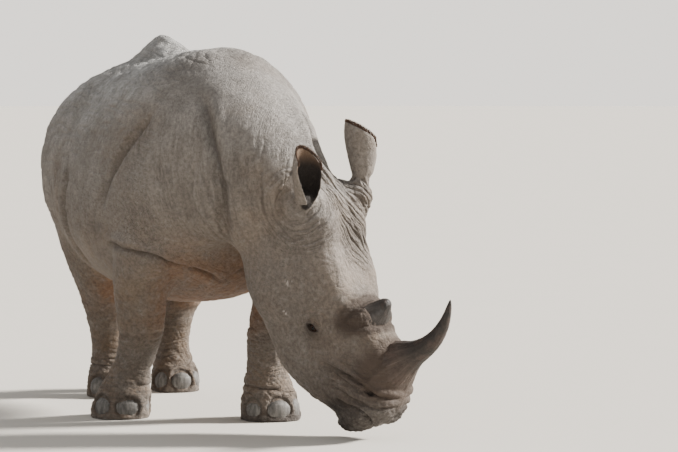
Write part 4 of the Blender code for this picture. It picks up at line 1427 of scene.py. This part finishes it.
def build_stage(stage):
    """The round floor, the camera, the lights and the sky."""
    bm = bmesh.new()
    bmesh.ops.create_circle(bm, cap_ends=True, segments=64, radius=stage.floor_reach)
    data = bpy.data.meshes.new("floor")
    bm.to_mesh(data)
    bm.free()
    data.materials.append(plain_material("floor", stage.floor_colour, 0.9))
    floor = new_object("floor", data)
    floor.location = (0, 0, -0.002)
    middle = tuple(WITHERS + np.array((-0.4, 0.0, 1.0)))
    camera_place = WITHERS + np.array((13.096, -4.203, 1.74))
    heading, dip = math.radians(20), math.radians(3.33)
    data = bpy.data.cameras.new("camera")
    data.sensor_width = 36.0
    data.lens = stage.lens
    data.clip_end = 200.0
    camera = new_object("camera", data)
    camera.location = tuple(camera_place)
    look = Vector((-math.cos(heading) * math.cos(dip), math.sin(heading) * math.cos(dip), -math.sin(dip)))
    camera.rotation_mode = "QUATERNION"
    camera.rotation_quaternion = look.to_track_quat("-Z", "Y")
    key_place = tuple(WITHERS + np.array((0.8, 8.7, 5.8)))
    fill_place = tuple(WITHERS + np.array((6.5, -7.0, 3.2)))
    data = bpy.data.lights.new("key_light", "SUN")
    data.energy = stage.key_power
    data.angle = math.radians(9)
    data.color = (1.0, 0.96, 0.90)
    key = new_object("key_light", data)
    key.location = key_place
    aim(key, middle)
    area_light("fill_light", fill_place, middle, 5.0, stage.fill_power, (0.95, 0.97, 1.0))
    world = bpy.data.worlds.new("studio")
    world.use_nodes = True
    tree = world.node_tree
    background = tree.nodes["Background"]
    background.inputs["Strength"].default_value = 1.0
    split = tree.nodes.new("ShaderNodeSeparateXYZ")
    tree.links.new(tree.nodes.new("ShaderNodeTexCoord").outputs["Generated"], split.inputs[0])
    rise = tree.nodes.new("ShaderNodeMapRange")
    tree.links.new(split.outputs[2], rise.inputs[0])
    rise.inputs[1].default_value, rise.inputs[2].default_value = 0.02, 0.10
    sky = tree.nodes.new("ShaderNodeMix")
    sky.data_type = "RGBA"
    tree.links.new(rise.outputs[0], sky.inputs[0])
    sky.inputs[6].default_value = (*stage.horizon_colour, 1.0)
    sky.inputs[7].default_value = (*(c * stage.world_strength for c in stage.world_colour), 1.0)
    tree.links.new(sky.outputs[2], background.inputs["Color"])
    bpy.context.scene.world = world
    bpy.context.scene.camera = camera


# ---------------------------------------------------------------- settings, operators and panel


class RhinoSkinSettings(bpy.types.PropertyGroup):
    """What the skin and the parts set in it are made with."""

    mesh_size: FloatProperty(
        name="Skin Mesh Size",
        description="Size of the cells that the flesh is melted together with", default=0.0076,
        min=0.003, max=0.05, subtype="DISTANCE", unit="LENGTH",
    )
    swell: FloatProperty(
        name="Swell",
        description="How far each solid is swollen before melting, to close the cuts between them",
        default=0.0013, min=0.0, max=0.01, subtype="DISTANCE", unit="LENGTH",
    )
    smoothing: IntProperty(
        name="Smoothing Rounds",
        description="How often the skin's places are eased between their neighbours", default=30,
        min=0, max=200,
    )
    horn_mesh: FloatProperty(
        name="Horn Mesh Size", description="Size of the cells of the horns' meshes", default=0.0036,
        min=0.001, max=0.02, subtype="DISTANCE", unit="LENGTH",
    )
    nail_mesh: FloatProperty(
        name="Nail Mesh Size", description="Size of the cells of the toenails' mesh",
        default=0.0045, min=0.001, max=0.02, subtype="DISTANCE", unit="LENGTH",
    )
    # Pale grey is also the painted skylight where the skin faces up.
    pale: FloatVectorProperty(
        name="Pale Grey", description="Colour of the skin where it faces up",
        default=(0.235, 0.220, 0.205), min=0.0, max=1.0, size=3, subtype="COLOR",
    )
    grey: FloatVectorProperty(
        name="Grey", description="Colour of the skin where it faces down",
        default=(0.176, 0.156, 0.138), min=0.0, max=1.0, size=3, subtype="COLOR",
    )
    # Earth is also the painted warm bounce light low on the trunk and the legs.
    brown: FloatVectorProperty(
        name="Earth", description="Colour of the dust on the belly and the legs",
        default=(0.158, 0.108, 0.069), min=0.0, max=1.0, size=3, subtype="COLOR",
    )
    dark: FloatVectorProperty(
        name="Dark Grey", description="Colour of the darker mottles", default=(0.125, 0.110, 0.097),
        min=0.0, max=1.0, size=3, subtype="COLOR",
    )


class RhinoHairSettings(bpy.types.PropertyGroup):
    """How many locks of hair each place bears."""

    fringe_locks: IntProperty(
        name="Fringe Locks", description="Locks of hair along each ear's rim", default=1500, min=0,
        max=5000,
    )
    tail_locks: IntProperty(
        name="Tail Locks", description="Locks of hair at the tail's end", default=500, min=0,
        max=5000,
    )
    lash_locks: IntProperty(name="Lashes", description="Lashes over each eye", default=26, min=2, max=200)


class RhinoStageSettings(bpy.types.PropertyGroup):
    """The camera, the lights and the floor."""

    lens: FloatProperty(
        name="Lens", description="Focal length of the camera", default=153.98, min=20.0, max=400.0,
        subtype="DISTANCE_CAMERA", unit="CAMERA",
    )
    floor_reach: FloatProperty(
        name="Floor Reach", description="Radius of the round floor", default=90.0, min=5.0,
        max=500.0, subtype="DISTANCE", unit="LENGTH",
    )
    key_power: FloatProperty(
        name="Key Power", description="Power of the light from behind the animal's left side",
        default=15.0, min=0.0, max=100.0,
    )
    fill_power: FloatProperty(
        name="Fill Power", description="Power of the broad light before the animal's right side",
        default=60.0, min=0.0, max=20000.0, unit="POWER",
    )
    floor_colour: FloatVectorProperty(
        name="Floor Colour", description="Colour of the floor", default=(0.60, 0.57, 0.52), min=0.0,
        max=1.0, size=3, subtype="COLOR",
    )
    world_colour: FloatVectorProperty(
        name="Sky Colour", description="Colour of the light from all round",
        default=(0.88, 0.87, 0.86), min=0.0, max=1.0, size=3, subtype="COLOR",
    )
    horizon_colour: FloatVectorProperty(
        name="Horizon Colour",
        description="Colour of the sky at the horizon, where it meets the floor",
        default=(1.64, 1.55, 1.43), min=0.0, max=4.0, size=3, subtype="COLOR",
    )
    world_strength: FloatProperty(
        name="Sky Strength", description="Strength of the light from all round", default=0.77,
        min=0.0, max=5.0,
    )


class RHINO_OT_skin(bpy.types.Operator):
    """Melt the solids of flesh into one skin and fold it"""

    bl_idname = "rhino.skin"
    bl_label = "Build Skin"

    def execute(self, context):
        build_skin(context.scene.rhino_skin)
        return {"FINISHED"}


class RHINO_OT_horns(bpy.types.Operator):
    """Build the front horn and the rear horn"""

    bl_idname = "rhino.horns"
    bl_label = "Build Horns"

    def execute(self, context):
        for node, seed in (("horn_front", 51), ("horn_rear", 55)):
            build_horn(context.scene.rhino_skin, node, seed)
        return {"FINISHED"}


class RHINO_OT_eyes(bpy.types.Operator):
    """Build both eyeballs"""

    bl_idname = "rhino.eyes"
    bl_label = "Build Eyes"

    def execute(self, context):
        for side in ("right", "left"):
            build_eye(side)
        return {"FINISHED"}


class RHINO_OT_nails(bpy.types.Operator):
    """Build the three toenails of each foot"""

    bl_idname = "rhino.nails"
    bl_label = "Build Toenails"

    def execute(self, context):
        build_nails(context.scene.rhino_skin)
        return {"FINISHED"}


class RHINO_OT_hair(bpy.types.Operator):
    """Build the ears' fringes, the tail's brush and the lashes"""

    bl_idname = "rhino.hair"
    bl_label = "Build Hair"

    def execute(self, context):
        settings = context.scene.rhino_hair
        for side in EARS:
            build_fringe(settings, side)
        build_tail_tuft(settings)
        build_lashes(settings)
        return {"FINISHED"}


class RHINO_OT_stage(bpy.types.Operator):
    """Set up the floor, the lights, the sky and the camera"""

    bl_idname = "rhino.stage"
    bl_label = "Build Stage"

    def execute(self, context):
        build_stage(context.scene.rhino_stage)
        return {"FINISHED"}


OPERATORS = (RHINO_OT_skin, RHINO_OT_horns, RHINO_OT_eyes, RHINO_OT_nails, RHINO_OT_hair, RHINO_OT_stage)
GROUPS = (
    ("rhino_skin", RhinoSkinSettings), ("rhino_hair", RhinoHairSettings),
    ("rhino_stage", RhinoStageSettings),
)


class RHINO_PT_panel(bpy.types.Panel):
    """The rhinoceros's settings and build steps"""

    bl_label = "White Rhinoceros"
    bl_idname = "RHINO_PT_panel"
    bl_space_type = "VIEW_3D"
    bl_region_type = "UI"
    bl_category = "Rhinoceros"

    def draw(self, context):
        for name, group in GROUPS:
            box = self.layout.box()
            for setting in group.__annotations__:
                box.prop(getattr(context.scene, name), setting)
        for operator in OPERATORS:
            self.layout.operator(operator.bl_idname)


def register():
    for _, group in GROUPS:
        bpy.utils.register_class(group)
    for operator in OPERATORS:
        bpy.utils.register_class(operator)
    bpy.utils.register_class(RHINO_PT_panel)
    for name, group in GROUPS:
        setattr(bpy.types.Scene, name, PointerProperty(type=group))


def unregister():
    for name, _ in GROUPS:
        delattr(bpy.types.Scene, name)
    bpy.utils.unregister_class(RHINO_PT_panel)
    for operator in reversed(OPERATORS):
        bpy.utils.unregister_class(operator)
    for _, group in reversed(GROUPS):
        bpy.utils.unregister_class(group)


def main():
    register()
    for operator in OPERATORS:
        family, name = operator.bl_idname.split(".")
        getattr(getattr(bpy.ops, family), name)()


if __name__ == "__main__":
    main()
